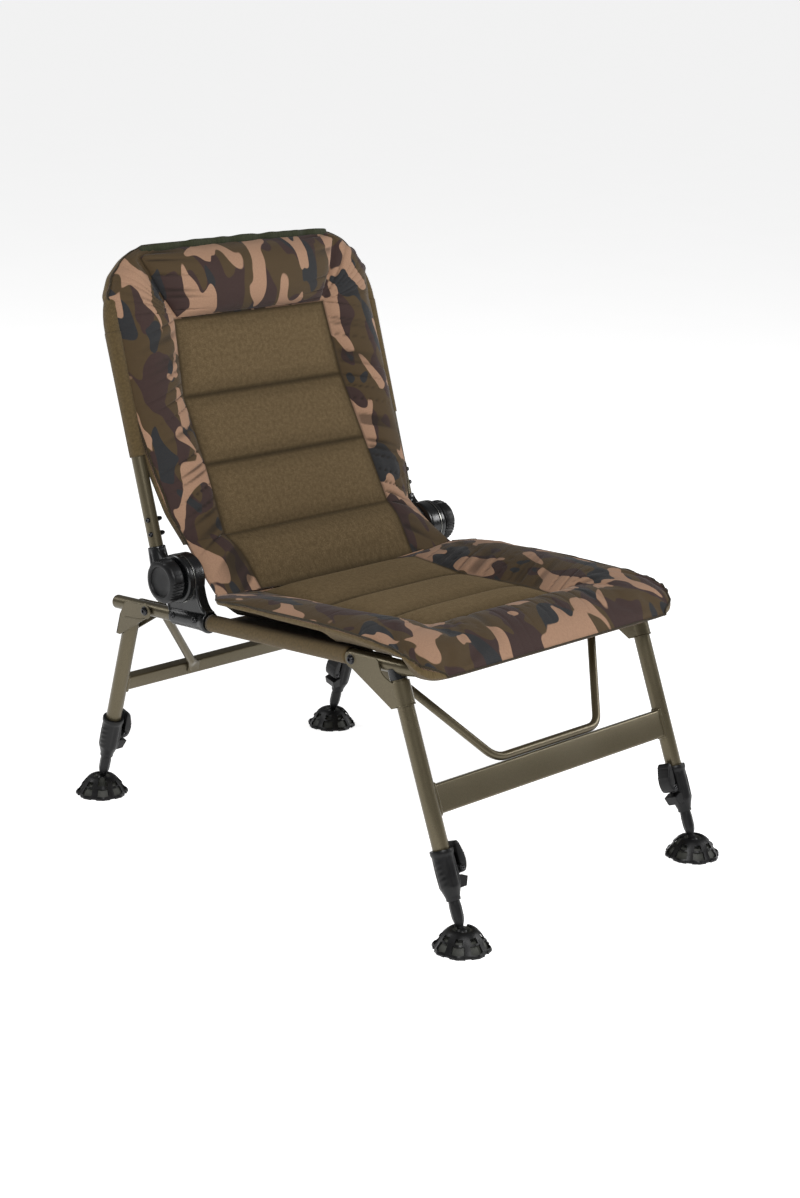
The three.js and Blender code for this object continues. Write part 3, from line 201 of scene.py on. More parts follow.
class Finish:
    """A material with one Principled shader, and short names for the nodes that feed it."""

    def __init__(self, name, **constants):
        self.material = bpy.data.materials.new(name)
        self.material.use_nodes = True
        self.tree = self.material.node_tree
        self.shader = self.tree.nodes["Principled BSDF"]
        for socket, value in constants.items():
            self.shader.inputs[socket.replace("_", " ")].default_value = value

    def node(self, kind, settings=None, **inputs):
        made = self.tree.nodes.new("ShaderNode" + kind)
        for key, value in (settings or {}).items():
            setattr(made, key, value)
        for key, value in inputs.items():
            socket = made.inputs[int(key[1:])] if key[0] == "_" else made.inputs[key]
            if isinstance(value, bpy.types.NodeSocket):
                self.tree.links.new(value, socket)
            else:
                socket.default_value = value
        return made

    def place(self, stretch=(1, 1, 1), mark=None):
        source = self.node("Attribute", {"attribute_name": mark}).outputs["Vector"] if mark else \
            self.node("TexCoord").outputs["Object"]
        return self.node("Mapping", Vector=source, Scale=stretch).outputs["Vector"]

    def noise(self, place, scale, detail=2.0, rough=0.5, bend=0.0):
        return self.node("TexNoise", Vector=place, Scale=scale, Detail=detail, Roughness=rough,
                         Distortion=bend).outputs["Fac"]

    def band(self, value, low, high, out_low=0.0, out_high=1.0):
        return self.node("MapRange", _0=value, _1=low, _2=high, _3=out_low, _4=out_high).outputs[0]

    def sum(self, kind, first, second):
        return self.node("Math", {"operation": kind}, _0=first, _1=second).outputs[0]

    def mix(self, share, first, second):
        return self.node("Mix", {"data_type": "RGBA"}, _0=share, _6=first, _7=second).outputs[2]

    def relief(self, height, depth, under=None):
        bump = self.node("Bump", Height=height, Distance=depth, Strength=1.0)
        if under is not None:
            self.tree.links.new(under, bump.inputs["Normal"])
        return bump.outputs["Normal"]

    def feed(self, socket, value):
        self.tree.links.new(value, self.shader.inputs[socket])


def mottled(name, grain, dark, light, gloss=None, relief=None, stretch=(1, 1, 1), **constants):
    """Two near colours mixed by noise. grain is that noise's scale and detail. gloss gives a second
    noise's scale and detail and the roughness at its low and its high, and relief gives a third
    noise's scale and detail and how deep its bumps are."""
    made = Finish(name, **constants)
    spot = made.place(stretch)
    made.feed("Base Color", made.mix(made.noise(spot, *grain), dark, light))
    if gloss:
        scale, detail, low, high = gloss
        made.feed("Roughness", made.band(made.noise(spot, scale, detail), 0.3, 0.7, low, high))
    if relief:
        scale, detail, depth = relief
        made.feed("Normal", made.relief(made.noise(spot, scale, detail), depth))
    return made


# %% [markdown]
# ### Painted steel tube
#
# The frame's paint is an olive bronze with a little metal in it. A flat colour would look like
# card, so fine speckle breaks up the colour, wide soft noise changes the gloss from place to
# place, and a very low relief stands for the paint's orange peel.

# %% Paint and bare metal
paint = Finish("frame paint", Metallic=0.6, Specular_IOR_Level=0.5)
spot = paint.place()
speckle = paint.noise(spot, 900, 2)
drift = paint.noise(spot, 7, 2)
paint_colour = paint.mix(paint.band(speckle, 0.35, 0.65), colour(86, 78, 60), colour(98, 90, 70))
paint.feed("Base Color", paint.mix(paint.band(drift, 0.3, 0.7, 0.0, 0.35), paint_colour, colour(78, 71, 55)))
paint.feed("Roughness", paint.band(drift, 0.3, 0.7, 0.26, 0.36))
paint.feed("Normal", paint.relief(paint.noise(spot, 420, 2), 0.00006))

bolt_finish = mottled("blackened bolt", (500,), colour(42, 42, 44), colour(64, 64, 66), (160, 2, 0.12, 0.22),
                      Metallic=0.85)
bright_finish = mottled("bright inner leg", (900,), colour(150, 150, 146), colour(178, 178, 172),
                        (700, 2, 0.22, 0.36), stretch=(1, 1, 0.05), Metallic=1.0)

# %% [markdown]
# ### Moulded plastic
#
# The hinge castings are smooth and glossy, the knobs, leg locks and feet are grained. Grain is
# a low relief of small noise, and rubbed places are shinier, so gloss follows a second noise.

# %% Castings, knobs and feet
casting_finish = mottled("hinge casting", (60,), colour(9, 10, 11), colour(15, 16, 17), (40, 3, 0.2, 0.32),
                         (700, 2, 0.00005), Specular_IOR_Level=0.45)
plastic = mottled("black plastic", (90, 3), colour(9, 9, 10), colour(17, 17, 18), (50, 3, 0.34, 0.5),
                  (1100, 3, 0.00009), Specular_IOR_Level=0.28)

# %% [markdown]
# ### Fleece, print and canvas
#
# The middle of the mattress is brushed fleece: soft mottling, a fuzz that catches the light at
# the edge, and tiny tufts, and painted shade that darkens it beside each seam. The border is a thin
# printed cloth in a plain four-colour camouflage. Its patches are three layers of stretched noise,
# each cut at one level, laid one over the other. They read the cloth's own flat place, kept on the
# points, so the print follows every fold, and painted shade darkens the print in the folds' valleys
# and beside its seams.

# %% Fleece
fleece = Finish("brushed fleece", Roughness=0.95, Sheen_Weight=0.35, Sheen_Roughness=0.5,
                Sheen_Tint=colour(150, 132, 100), Specular_IOR_Level=0.15)
flat = fleece.place(mark="cloth")
tufts = fleece.noise(flat, 620, 3, 0.7)
clouds = fleece.noise(flat, 150, 3, 0.6)
fleece_colour = fleece.mix(fleece.band(tufts, 0.35, 0.65), colour(86, 71, 49), colour(113, 96, 70))
fleece_colour = fleece.mix(fleece.band(clouds, 0.35, 0.7, 0.0, 0.7), fleece_colour, colour(76, 62, 41))
# painted shade: the fleece darkens over about 26 mm beside each seam, where shade falls between the swollen channels,
# and most deeply in the stitched crease itself
near_seam = fleece.node("Attribute", {"attribute_name": "seam"}).outputs["Fac"]
fleece_colour = fleece.mix(fleece.band(near_seam, 0.0, 0.026, 0.38, 0.0), fleece_colour, colour(44, 35, 20))
fleece.feed("Base Color", fleece.mix(fleece.band(near_seam, 0.0008, 0.0062, 0.75, 0.0), fleece_colour,
                                     colour(38, 30, 17)))
fleece.feed("Normal", fleece.relief(fleece.sum("ADD", tufts, clouds), 0.0007))

# %% Camouflage print
def printed(name, stretch, shift, ground, brown, sand, ink):
    """A printed cloth: three layers of patches over a ground colour, painted shade in the folds' valleys and beside the
    seams, and a fine plain weave.
    """
    print_cloth = Finish(name, Roughness=0.82, Sheen_Weight=0.12, Sheen_Roughness=0.4, Specular_IOR_Level=0.25)
    flat = print_cloth.place(mark="cloth")
    patches = []
    for layer in range(3):
        moved = print_cloth.node("Mapping", Vector=flat, Scale=stretch,
                                 Location=(shift + 3.1 * layer, 1.7 * layer, shift)).outputs["Vector"]
        patches.append(print_cloth.noise(moved, 1.0, 1.0, 0.3, 0.55))
    base = print_cloth.mix(print_cloth.band(patches[0], 0.525, 0.532), ground, brown)
    base = print_cloth.mix(print_cloth.band(patches[1], 0.605, 0.612), base, ink)
    base = print_cloth.mix(print_cloth.band(patches[2], 0.562, 0.569), base, sand)
    fade = print_cloth.band(print_cloth.noise(flat, 400, 3), 0.3, 0.7, 0.0, 0.18)
    base = print_cloth.mix(fade, base, colour(66, 55, 42))
    near_seam = print_cloth.node("Attribute", {"attribute_name": "seam"}).outputs["Fac"]
    # painted shade: the print darkens in the gathers' valleys, where the fold mark named shade is high
    in_fold = print_cloth.node("Attribute", {"attribute_name": "shade"}).outputs["Fac"]
    base = print_cloth.mix(print_cloth.band(in_fold, 0.05, 0.6, 0.0, 0.62), base, colour(26, 20, 14))
    # painted shade: the print darkens within about 4.5 mm of its seams, in the stitched crease
    print_cloth.feed("Base Color", print_cloth.mix(print_cloth.band(near_seam, 0.0006, 0.0045, 0.6, 0.0), base,
                                                   colour(30, 23, 15)))
    threads = [print_cloth.node("TexWave", {"wave_type": "BANDS", "bands_direction": axis}, Vector=flat,
                                Scale=260.0).outputs["Fac"] for axis in "XY"]
    print_cloth.feed("Normal", print_cloth.relief(print_cloth.sum("MULTIPLY", *threads), 0.00012))
    return print_cloth


camouflage = printed("camouflage print", (19, 13, 1), 0.0, colour(72, 57, 36), colour(56, 40, 38),
                     colour(160, 126, 102), colour(38, 40, 43))
pillow_print = printed("camouflage print of the pillow", (22, 10.5, 1), 5.3, colour(72, 57, 36), colour(56, 40, 38),
                       colour(160, 126, 102), colour(38, 40, 43))

# %% Canvas
def canvas_of(name, dark, light, mark=None):
    """A plain woven cloth: threads both ways, and a slow change of colour."""
    woven = Finish(name, Roughness=0.85, Sheen_Weight=0.1, Specular_IOR_Level=0.25)
    flat = woven.place(mark=mark)
    threads = [woven.node("TexWave", {"wave_type": "BANDS", "bands_direction": axis}, Vector=flat,
                          Scale=190.0).outputs["Fac"] for axis in "XY"]
    weave = woven.sum("MULTIPLY", *threads)
    base = woven.mix(woven.band(woven.noise(flat, 260, 3), 0.3, 0.7), dark, light)
    woven.feed("Base Color", woven.mix(woven.band(weave, 0.0, 1.0, 0.25, 0.0), base, colour(40, 33, 20)))
    woven.feed("Normal", woven.relief(weave, 0.0002))
    return woven


canvas = canvas_of("olive canvas", colour(78, 64, 38), colour(96, 79, 49), mark="cloth")
tape = canvas_of("olive tape", colour(84, 69, 42), colour(104, 87, 56), mark="cloth")
tape_dark = canvas_of("dark olive piping", colour(40, 33, 20), colour(58, 48, 30))
binding_cloth = canvas_of("dark green binding", colour(36, 42, 26), colour(52, 58, 36), mark="cloth")

# %% Floor finish
floor_finish = mottled("pale floor", (3, 2), colour(243, 243, 243), colour(249, 249, 249), Roughness=0.9,
                       Specular_IOR_Level=0.1, Emission_Strength=0.70, Emission_Color=(1, 1, 1, 1))
put("floor", [skin(floor_grid)], floor_finish.material)
print("finishes:", len(bpy.data.materials))

# %% [markdown]
# ## Places on the frame
#
# Two straight lines carry the whole chair: the axis of a seat rail, which climbs four degrees to
# the front, and the axis of a back upright, which leans back. Every piece is placed along one of
# these lines and square to it, or in a leg's own frame, so the lesson needs no other ruler.

# %% Rulers
degree = math.pi / 180
mm = 0.001
rail_x, back_x = 260 * mm, 272 * mm
rail_rise, back_lean = 4 * degree, 17.7 * degree


def on_rail(along, up=0.0):
    """Places (y, z): along the rail's axis from its rear end, then up square to it, in metres."""
    along, up = np.broadcast_arrays(np.asarray(along, float), np.asarray(up, float))
    return np.stack([0.362 - along * math.cos(rail_rise) + up * math.sin(rail_rise),
                     0.340 + along * math.sin(rail_rise) + up * math.cos(rail_rise)], axis=-1)


hinge = on_rail(0.1704, 0.0643)


def on_back(along, ahead=0.0):
    """Places (y, z): up the upright's axis from beside the hinge, then ahead square to it."""
    along, ahead = np.broadcast_arrays(np.asarray(along, float), np.asarray(ahead, float))
    ahead = ahead - 0.0382
    return np.stack([hinge[0] - ahead * math.cos(back_lean) + along * math.sin(back_lean),
                     hinge[1] + ahead * math.sin(back_lean) + along * math.cos(back_lean)], axis=-1)


def at(x, yz):
    """Places in space from sideways places x and places (y, z)."""
    x = np.broadcast_to(np.asarray(x, float), yz.shape[:-1])
    return np.concatenate([x[..., None], yz], axis=-1)


print("hinge at", np.round(hinge, 4))


# %% Curves and sections
def rounded(corners, radius, steps=8):
    """A line through corners whose inner corners become arcs. On each side of a corner the arc
    starts radius times the tangent of half the turn away, and its middle is on the bisector."""
    corners = np.asarray(corners, float)
    line = [corners[:1]]
    radii = np.broadcast_to(radius, len(corners) - 2)
    for before, corner, after, size in zip(corners, corners[1:], corners[2:], radii):
        a, b = before - corner, after - corner
        a, b = a / np.linalg.norm(a), b / np.linalg.norm(b)
        inside = math.acos(np.clip(a @ b, -1, 1))
        away = size / math.tan(inside / 2)
        centre = corner + (a + b) / np.linalg.norm(a + b) * size / math.sin(inside / 2)
        start, end = corner + a * away - centre, corner + b * away - centre
        sweep = math.pi - inside
        share = np.linspace(0, 1, steps + 1)[:, None]
        line.append(centre + (start * np.sin((1 - share) * sweep) + end * np.sin(share * sweep)) / math.sin(sweep))
    return np.concatenate(line + [corners[-1:]])


def ring(radius, sides=40, flat=1.0):
    """A round section: radius times cosine and sine, the second axis times flat."""
    angle = np.linspace(0, 2 * math.pi, sides, endpoint=False)
    return np.stack([radius * np.cos(angle), radius * flat * np.sin(angle)], axis=-1)


def swept(path, section, side):
    """Carries a section along a path that lies square to side: point = path + first axis times
    side + second axis times the direction square to side and to the path."""
    path, side = np.asarray(path, float), np.asarray(side, float) / np.linalg.norm(side)
    ahead = np.gradient(path, axis=0)
    ahead[0], ahead[-1] = path[1] - path[0], path[-1] - path[-2]
    lift = np.cross(side, ahead)
    lift /= np.linalg.norm(lift, axis=1, keepdims=True)
    return skin(path[:, None] + section[None, :, :1] * side + section[None, :, 1:] * lift[:, None],
                around=True, ends=True)


def spun(profile, origin, axis, sides=48, ripple=None):
    """Turns a profile of (radius, height) pairs about an axis through origin. A ripple adds to the
    radius what it gives for an angle, a height and a radius."""
    profile, axis = np.asarray(profile, float), np.asarray(axis, float) / np.linalg.norm(axis)
    side = np.cross(axis, (0, 1, 0) if abs(axis[1]) < 0.9 else (1, 0, 0))
    side /= np.linalg.norm(side)
    angle = np.linspace(0, 2 * math.pi, sides, endpoint=False)
    radius, height = profile[:, :1] + 0 * angle, profile[:, 1:] + 0 * angle
    if ripple:
        radius = radius + ripple(angle[None, :] + 0 * radius, height, radius)
    spoke = np.cos(angle)[:, None] * side + np.sin(angle)[:, None] * np.cross(axis, side)
    return skin(np.asarray(origin, float) + height[..., None] * axis + radius[..., None] * spoke, around=True)


def slab(outline, low, high, bevel=0.0):
    """A flat plate across the chair: an outline of (y, z) carried from x = low to x = high, with
    each face drawn in by the bevel along the outline's inward corners."""
    outline = np.asarray(outline, float)
    before, after = np.roll(outline, 1, axis=0) - outline, np.roll(outline, -1, axis=0) - outline
    before /= np.linalg.norm(before, axis=1, keepdims=True)
    after /= np.linalg.norm(after, axis=1, keepdims=True)
    area = np.sum(outline[:, 0] * np.roll(outline[:, 1], -1) - outline[:, 1] * np.roll(outline[:, 0], -1))
    left = np.stack([-after[:, 1], after[:, 0]], axis=1) - np.stack([-before[:, 1], before[:, 0]], axis=1)
    inward = left / np.linalg.norm(left, axis=1, keepdims=True) * np.sign(area)
    drawn = outline + inward * bevel
    rows = [at(low, drawn), at(low + bevel, outline), at(high - bevel, outline), at(high, drawn)]
    return skin(np.stack(rows if bevel else rows[1:3]), around=True, ends=True)


# %% [markdown]
# ## Frame tubes
#
# The seat frame is one tube bent at the two front corners, and the back frame is one tube bent at
# the top. A tube could be a curve with a round bevel, but a ring carried along a rounded line is
# one formula for both, and its places are known exactly.

# %% Seat frame and back frame
tube_radius = 11 * mm
seat_path = rounded([at(-rail_x, on_rail(0.0)), at(-rail_x, on_rail(0.6947)),
                     at(rail_x, on_rail(0.6947)), at(rail_x, on_rail(0.0))], 48 * mm, 12)
seat_tube = put("seat tube", [swept(seat_path, ring(tube_radius), np.cross(
    seat_path[1] - seat_path[0], (1, 0, 0)))], paint.material, "seat")
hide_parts("seat_frame_tube")
back_path = rounded([at(-back_x, on_back(0.033)), at(-back_x, on_back(0.5045)),
                     at(back_x, on_back(0.5045)), at(back_x, on_back(0.033))], 112 * mm, 16)
back_tube = put("back tube", [swept(back_path, ring(tube_radius), np.cross(
    back_path[1] - back_path[0], (1, 0, 0)))], paint.material, "back")
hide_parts("back_frame_tube")
print("tube pieces:", seat_tube.name, "and", back_tube.name)

# %% [markdown]
# ## The mattress
#
# Sewn padding is a skin that is held at its seams and swells between them. It could be sculpted,
# but a simulation finds the folds by itself. First the skin is worked out as a grid: rows run
# along the pad, and columns run over its top and back underneath. Then Blender's cloth pushes it
# out from inside while the seams stay where they are. The border has more cloth than its seam
# is long, as a gathered border has, so it buckles into short folds square to the seam.

# %% Reading the pad's tables
def smooth_table(table, share, window=0.03):
    """Reads (share, value) pairs in straight lines, then averages over a window of shares."""
    fine = np.linspace(-0.2, 1.2, 1401)
    straight = np.interp(fine, *np.transpose(table))
    weights = np.hanning(max(3, int(window * 1000)))
    return np.interp(share, fine, np.convolve(straight, weights / weights.sum(), mode="same"))


seat_pad = dict(
    start=0.2425, length=0.4735, half_width=0.305, loft=0.040, tube=rail_x, base=on_rail, fleece=0.178, hem=0.5,
    clear=(0.215, 0.244), tuck=0.2815, floor=0.0022, crown=0.019, seams=[0, 0.263, 0.533, 0.718], nose=0.93,
    border=[(0, 0.72), (0.06, 0.97), (0.12, 1.036), (0.227, 1.09), (0.333, 1.1), (0.544, 1.064), (0.649, 1.13),
            (0.755, 1.213), (0.84, 1.239), (0.903, 1.244), (0.945, 1.22), (0.975, 1.12), (0.99, 1.0), (1, 0.86)],
    inner=[(0, 0.93), (0.263, 0.83), (0.533, 0.84), (0.718, 0.76), (1, 0.7)],
    seam=[(0, 0.855), (0.263, 0.6125), (0.533, 0.5625), (0.718, 0.56), (0.88, 0.56), (0.95, 0.52), (0.98, 0.44),
          (1, 0.35)],
    edge=[(0, 1.1), (0.06, 1.16), (0.2, 1.2), (0.333, 1.18), (0.544, 1.14), (0.649, 1.08), (0.755, 1.0), (0.84, 0.88),
          (0.903, 0.72), (0.945, 0.5), (1, 0.3)],
    low=[(0, 0.8), (0.06, 0.94), (0.12, 0.98), (0.227, 0.95), (0.333, 0.9), (0.544, 0.81), (0.755, 0.75),
         (0.84, 0.68), (0.903, 0.52), (0.945, 0.12), (0.97, -0.18), (1, -0.22)],
    under=[(0, 0.055), (0.638, 0.055), (0.652, -0.1), (0.895, -0.1), (0.905, -0.375), (0.96, -0.375),
           (0.985, -0.3), (1, -0.24)],
    rise=[(0, 0.15), (0.12, 0.4), (0.263, 0.5), (0.718, 0.5), (0.9, 0.42), (0.96, 0.3), (1, 0.2)],
    front=[(0.718, 0), (0.74, 0.7), (0.79, 1), (0.895, 0.9), (0.945, 0.6), (0.98, 0.25), (1, 0)])
back_pad = dict(
    start=0.0476, length=0.4704, half_width=0.276, loft=0.054, tube=back_x, base=on_back, fleece=0.178, hem=0.35,
    clear=(0.256, 0.2885), floor=0.0022, crown=0.012, seams=[0, 0.246, 0.481, 0.743],
    border=[(0, 0.634), (0.11, 0.845), (0.246, 0.961), (0.481, 1.091), (0.743, 1.169), (0.85, 0.93), (0.913, 0.60),
            (0.96, 0.21), (0.985, 0.37), (1, 0.30)],
    inner=[(0, 1), (0.246, 0.966), (0.481, 0.95), (0.743, 0.89), (0.96, 1.19), (1, 0.85)],
    seam=[(0, 0.989), (0.246, 0.604), (0.481, 0.169), (0.743, 0.215), (0.9, 0.28), (0.972, 0.28), (0.99, 0.2),
          (1, 0.1)],
    edge=[(0, 0.7), (0.246, 0.4), (0.481, 0.15), (0.743, 0.15), (0.95, 0.12), (1, 0.05)],
    under=[(0, 0.48), (0.13, 0.26), (0.246, 0.1), (0.3, 0.04), (0.83, 0.04), (0.85, -0.278), (0.98, -0.278), (1, -0.1)],
    rise=[(0, 0.1), (0.246, 0.2), (0.481, 0.48), (0.743, 0.46), (0.9, 0.28), (0.96, 0.1), (1, 0.02)],
    front=[(0.743, 0), (1, 0)])


# %% The grid of a pad
def clustered(start, end, count):
    """Shares from start to end, closer together at both ends: t less a sine wave of t."""
    t = np.linspace(0, 1, count, endpoint=False)
    return start + (end - start) * (t - 0.55 * np.sin(2 * math.pi * t) / (2 * math.pi))


fleece_columns, border_columns, side_columns, under_columns = 26, 25, 4, 14
half_out = np.concatenate([np.zeros(fleece_columns), np.sin(np.linspace(0, 1, border_columns) * math.pi / 2)])
half_in = np.concatenate([np.linspace(0, 1, fleece_columns + 1)[:-1] ** 0.9, np.ones(border_columns)])
side_steps = np.linspace(0, 1, side_columns + 1)[1:]
under_steps = np.linspace(1, 0, under_columns + 1)[1:]


def all_round(top, side, under, sign):
    """A whole row from the half of it: over the top, down one side, underneath and up the other.
    The second half is the first times sign, which is -1 for the places across and 1 for heights."""
    return np.concatenate([sign * top[:, :0:-1], top, side, under, sign * under[:, -2::-1],
                           sign * side[:, ::-1]], axis=1)


def pad_skin(pad, puff=0.7):
    """The pad's points: rows along it, columns over the top and back underneath.
    Over the fleece the height is the seam's plus a channel's swell, crown times the root of a
    half sine. Over the border it falls from the seam to the edge with the square of the way out,
    plus a roll, rise times a half sine to the power 0.6. Then it goes down the side to the hem."""
    channels = list(zip(pad["seams"], pad["seams"][1:]))
    last = pad["seams"][-1]
    front_steps = np.linspace(0, 1, 34)
    share = np.concatenate([clustered(a, b, 22) for a, b in channels] + [
        last + (1 - last) * (1 - (1 - front_steps) ** (1.6 if "nose" in pad else 1))])
    swell = np.zeros_like(share)
    for a, b in channels:
        inside = (share >= a) & (share <= b)
        swell[inside] = pad["crown"] * np.sqrt(np.sin(math.pi * (share[inside] - a) / (b - a)).clip(0))
    table = {key: smooth_table(pad[key], share)[:, None] for key in ("border", "inner", "seam", "edge", "rise")}
    table["under"] = np.interp(share, *np.transpose(pad["under"]))[:, None]
    fleece_half = pad["fleece"] * table["inner"]
    width = fleece_half + (pad["half_width"] - pad["fleece"]) * table["border"]
    seam, edge, rise = (pad["loft"] * table[key] for key in ("seam", "edge", "rise"))
    if "low" in pad:
        hem = pad["loft"] * np.interp(share, *np.transpose(pad["low"]))[:, None]
    else:
        hem = np.minimum(edge, seam) - pad["loft"] * pad["hem"]
    whole = (share > pad["seams"][-1] + 1e-9)[:, None]
    front = pad["crown"] * np.interp(share, *np.transpose(pad["front"]))[:, None]

    x_top = fleece_half * half_in + (width - fleece_half) * half_out
    roll = rise * np.sin(math.pi * half_out).clip(0) ** 0.6
    reach = np.where(whole, width, fleece_half)
    crown = np.where(whole, front, swell[:, None]) * (1 - np.minimum(1, x_top / reach) ** 5)
    high = seam - (seam - edge) * half_out ** 2 + puff * np.maximum(roll, crown)
    if "nose" in pad:
        fall = np.sqrt(1 - ((share - pad["nose"]) / (1 - pad["nose"])).clip(0, 1) ** 2)[:, None]
        high, edge = hem + 0.0015 + (high - hem - 0.0015) * fall, hem + 0.0015 + (edge - hem - 0.0015) * fall
    x_side = width - 0.004 * side_steps ** 2 + 0 * width
    h_side = edge + (hem - edge) * side_steps
    x_under = (width - 0.004) * under_steps
    below = pad["loft"] * table["under"]
    plain = np.where(table["under"] < 0, below, np.maximum(pad["floor"], below))
    if "low" in pad:
        # ahead of the sling the underside comes down close over the rails, which narrows the gap between them
        ahead = np.interp(share, [0.50, 0.58], [0, 1])[:, None]
        inner, outer = (pad["clear"][k] + (pad["tuck"] - pad["clear"][k] - (0.012, 0.0)[k]) * ahead for k in (0, 1))
        plain = np.where(x_under > 0.238, np.maximum(plain, 0.0145 * ahead), plain)
        climb = ((x_under - inner) / (outer - inner)).clip(0, 1)
        h_under = plain + (hem - 0.002 * (x_under < width - 0.006) - plain) * climb
    else:
        h_under = np.where(x_under > pad["clear"][1], hem, np.where(x_under > pad["clear"][0], 0.0165, plain))
    pocket = (table["under"] < -0.2) & (x_under < pad.get("tuck", pad["clear"][1]))
    h_under = np.where(pocket, below, h_under)

    x, h = all_round(x_top, x_side, x_under, -1), all_round(high, h_side, h_under, 1)
    base = pad["base"]((pad["start"] + pad["length"] * share)[:, None], h)
    return share, np.concatenate([x[..., None], base], axis=-1), fleece_half, width


# %% Letting the cloth swell
def swell_cloth(piece, sewn, spare, pressure, growth, cap, stiff=8.0, frames=20):
    """Blender's cloth swells a closed skin: sewn points stay, spare is the share of extra cloth
    at each point, and no point moves further than the cap."""
    before = points_of(piece)
    held = piece.vertex_groups.new(name="sewn")
    held.add(np.nonzero(sewn)[0].tolist(), 1.0, "REPLACE")
    extra = piece.vertex_groups.new(name="spare cloth")
    for level in (0.25, 0.5, 0.75, 1.0):
        extra.add(np.nonzero(np.abs(spare - level) < 0.126)[0].tolist(), level, "REPLACE")
    cloth = piece.modifiers.new("swell", "CLOTH")
    rules = cloth.settings
    rules.quality, rules.mass = 6, 0.25
    rules.tension_stiffness = rules.compression_stiffness = stiff
    rules.shear_stiffness, rules.bending_stiffness = stiff / 2, 0.15
    rules.vertex_group_mass, rules.vertex_group_shrink = "sewn", "spare cloth"
    rules.shrink_min, rules.shrink_max = 0.0, -growth
    rules.use_pressure, rules.uniform_pressure_force = True, pressure
    rules.effector_weights.gravity = 0
    cloth.collision_settings.use_collision = False
    cloth.point_cache.frame_start, cloth.point_cache.frame_end = 1, frames
    for step in range(1, frames + 1):
        bpy.context.scene.frame_set(step)
    shaped = piece.evaluated_get(bpy.context.evaluated_depsgraph_get())
    flat = np.empty(len(before) * 3, np.float32)
    shaped.data.vertices.foreach_get("co", flat)
    moved = flat.reshape(-1, 3) - before
    length = np.linalg.norm(moved, axis=1, keepdims=True)
    after = before + moved * np.minimum(1, cap / np.maximum(length, 1e-9))
    piece.modifiers.clear()
    piece.vertex_groups.clear()
    bpy.context.scene.frame_set(1)
    piece.data.vertices.foreach_set("co", after.astype(np.float32).ravel())
    piece.data.update()
    print(piece.name, "swelled by up to", round(float(length.max()) * 1000, 1), "mm")
    return np.minimum(length[:, 0], cap)


# %% Rims, folds and cords of cloth
def hold_rims(piece, columns):
    """Full creases on the first and the last ring, so that subdivision leaves the flat ends in place."""
    mesh = piece.data
    ends = np.empty(len(mesh.edges) * 2, np.int32)
    mesh.edges.foreach_get("vertices", ends)
    ends = ends.reshape(-1, 2)
    rim = (ends < columns).all(axis=1) | (ends >= len(mesh.vertices) - columns).all(axis=1)
    mesh.attributes.new("crease_edge", "FLOAT", "EDGE").data.foreach_set("value", rim.astype(np.float32))


def refine(piece):
    """One subdivision, applied, so that folds have points enough to follow."""
    smooth = piece.modifiers.new("rounding", "SUBSURF")
    smooth.levels = smooth.render_levels = 1
    finer = finished_mesh(piece)
    piece.modifiers.clear()
    coarse, piece.data = piece.data, finer
    bpy.data.meshes.remove(coarse)
    piece.data.polygons.foreach_set("use_smooth", np.ones(len(piece.data.polygons), bool))


def mark_of(piece, name):
    """A vector kept on a piece's points, as rows of three."""
    flat = np.empty(len(piece.data.vertices) * 3, np.float32)
    piece.data.attributes[name].data.foreach_get("vector", flat)
    return flat.reshape(-1, 3).astype(float)


def gather(piece, depth, seed, slant=0.03, width=0.4):
    """Short folds that run out from a seam. A sum of four waves of uneven pitch along the seam makes
    a narrow valley wherever it crosses zero; the fold is deepest near the seam and dies out towards
    the edge. The mark gives the run along the seam, the way out from it, and a weight."""
    run, out, weight = mark_of(piece, "fold").T
    draw = np.random.default_rng(seed)
    wave = 0
    for pitch in (0.036, 0.049, 0.067, 0.101):
        height, start = draw.uniform(0.6, 1.0), draw.uniform(0, 6.28)
        wave = wave + height * np.sin(2 * math.pi * (run + slant * out) / pitch + start)
    valley = np.exp(-(wave / width) ** 2) - 0.28
    rise = (1 - np.exp(-out / 0.07)) * np.exp(-(out / 0.62) ** 2)
    moved = points_of(piece) - normals_of(piece) * (depth * weight * valley * rise)[:, None]
    piece.data.vertices.foreach_set("co", moved.astype(np.float32).ravel())
    # the folds' valleys are kept as the mark named shade, which the print turns into painted shade
    shade = piece.data.attributes.new("shade", "FLOAT", "POINT")
    shade.data.foreach_set("value", (weight * valley * rise).clip(0, 1).astype(np.float32))
    piece.data.update()


def corded(path, radius, facing, sides=12, flat=1.0):
    """A cord along a path: its section stands on the direction square to the path and to facing,
    and on the one square to both, which is flat times as deep."""
    ahead = np.gradient(path, axis=0)
    across = np.cross(ahead, facing)
    across /= np.linalg.norm(across, axis=1, keepdims=True)
    lift = np.cross(across, ahead)
    lift /= np.linalg.norm(lift, axis=1, keepdims=True)
    angle = np.linspace(0, 2 * math.pi, sides, endpoint=False)
    radius = np.broadcast_to(np.asarray(radius, float), len(path))[:, None, None]
    grid = path[:, None] + radius * (np.cos(angle)[None, :, None] * across[:, None]
                                     + flat * np.sin(angle)[None, :, None] * lift[:, None])
    return skin(grid, around=True, ends=True)


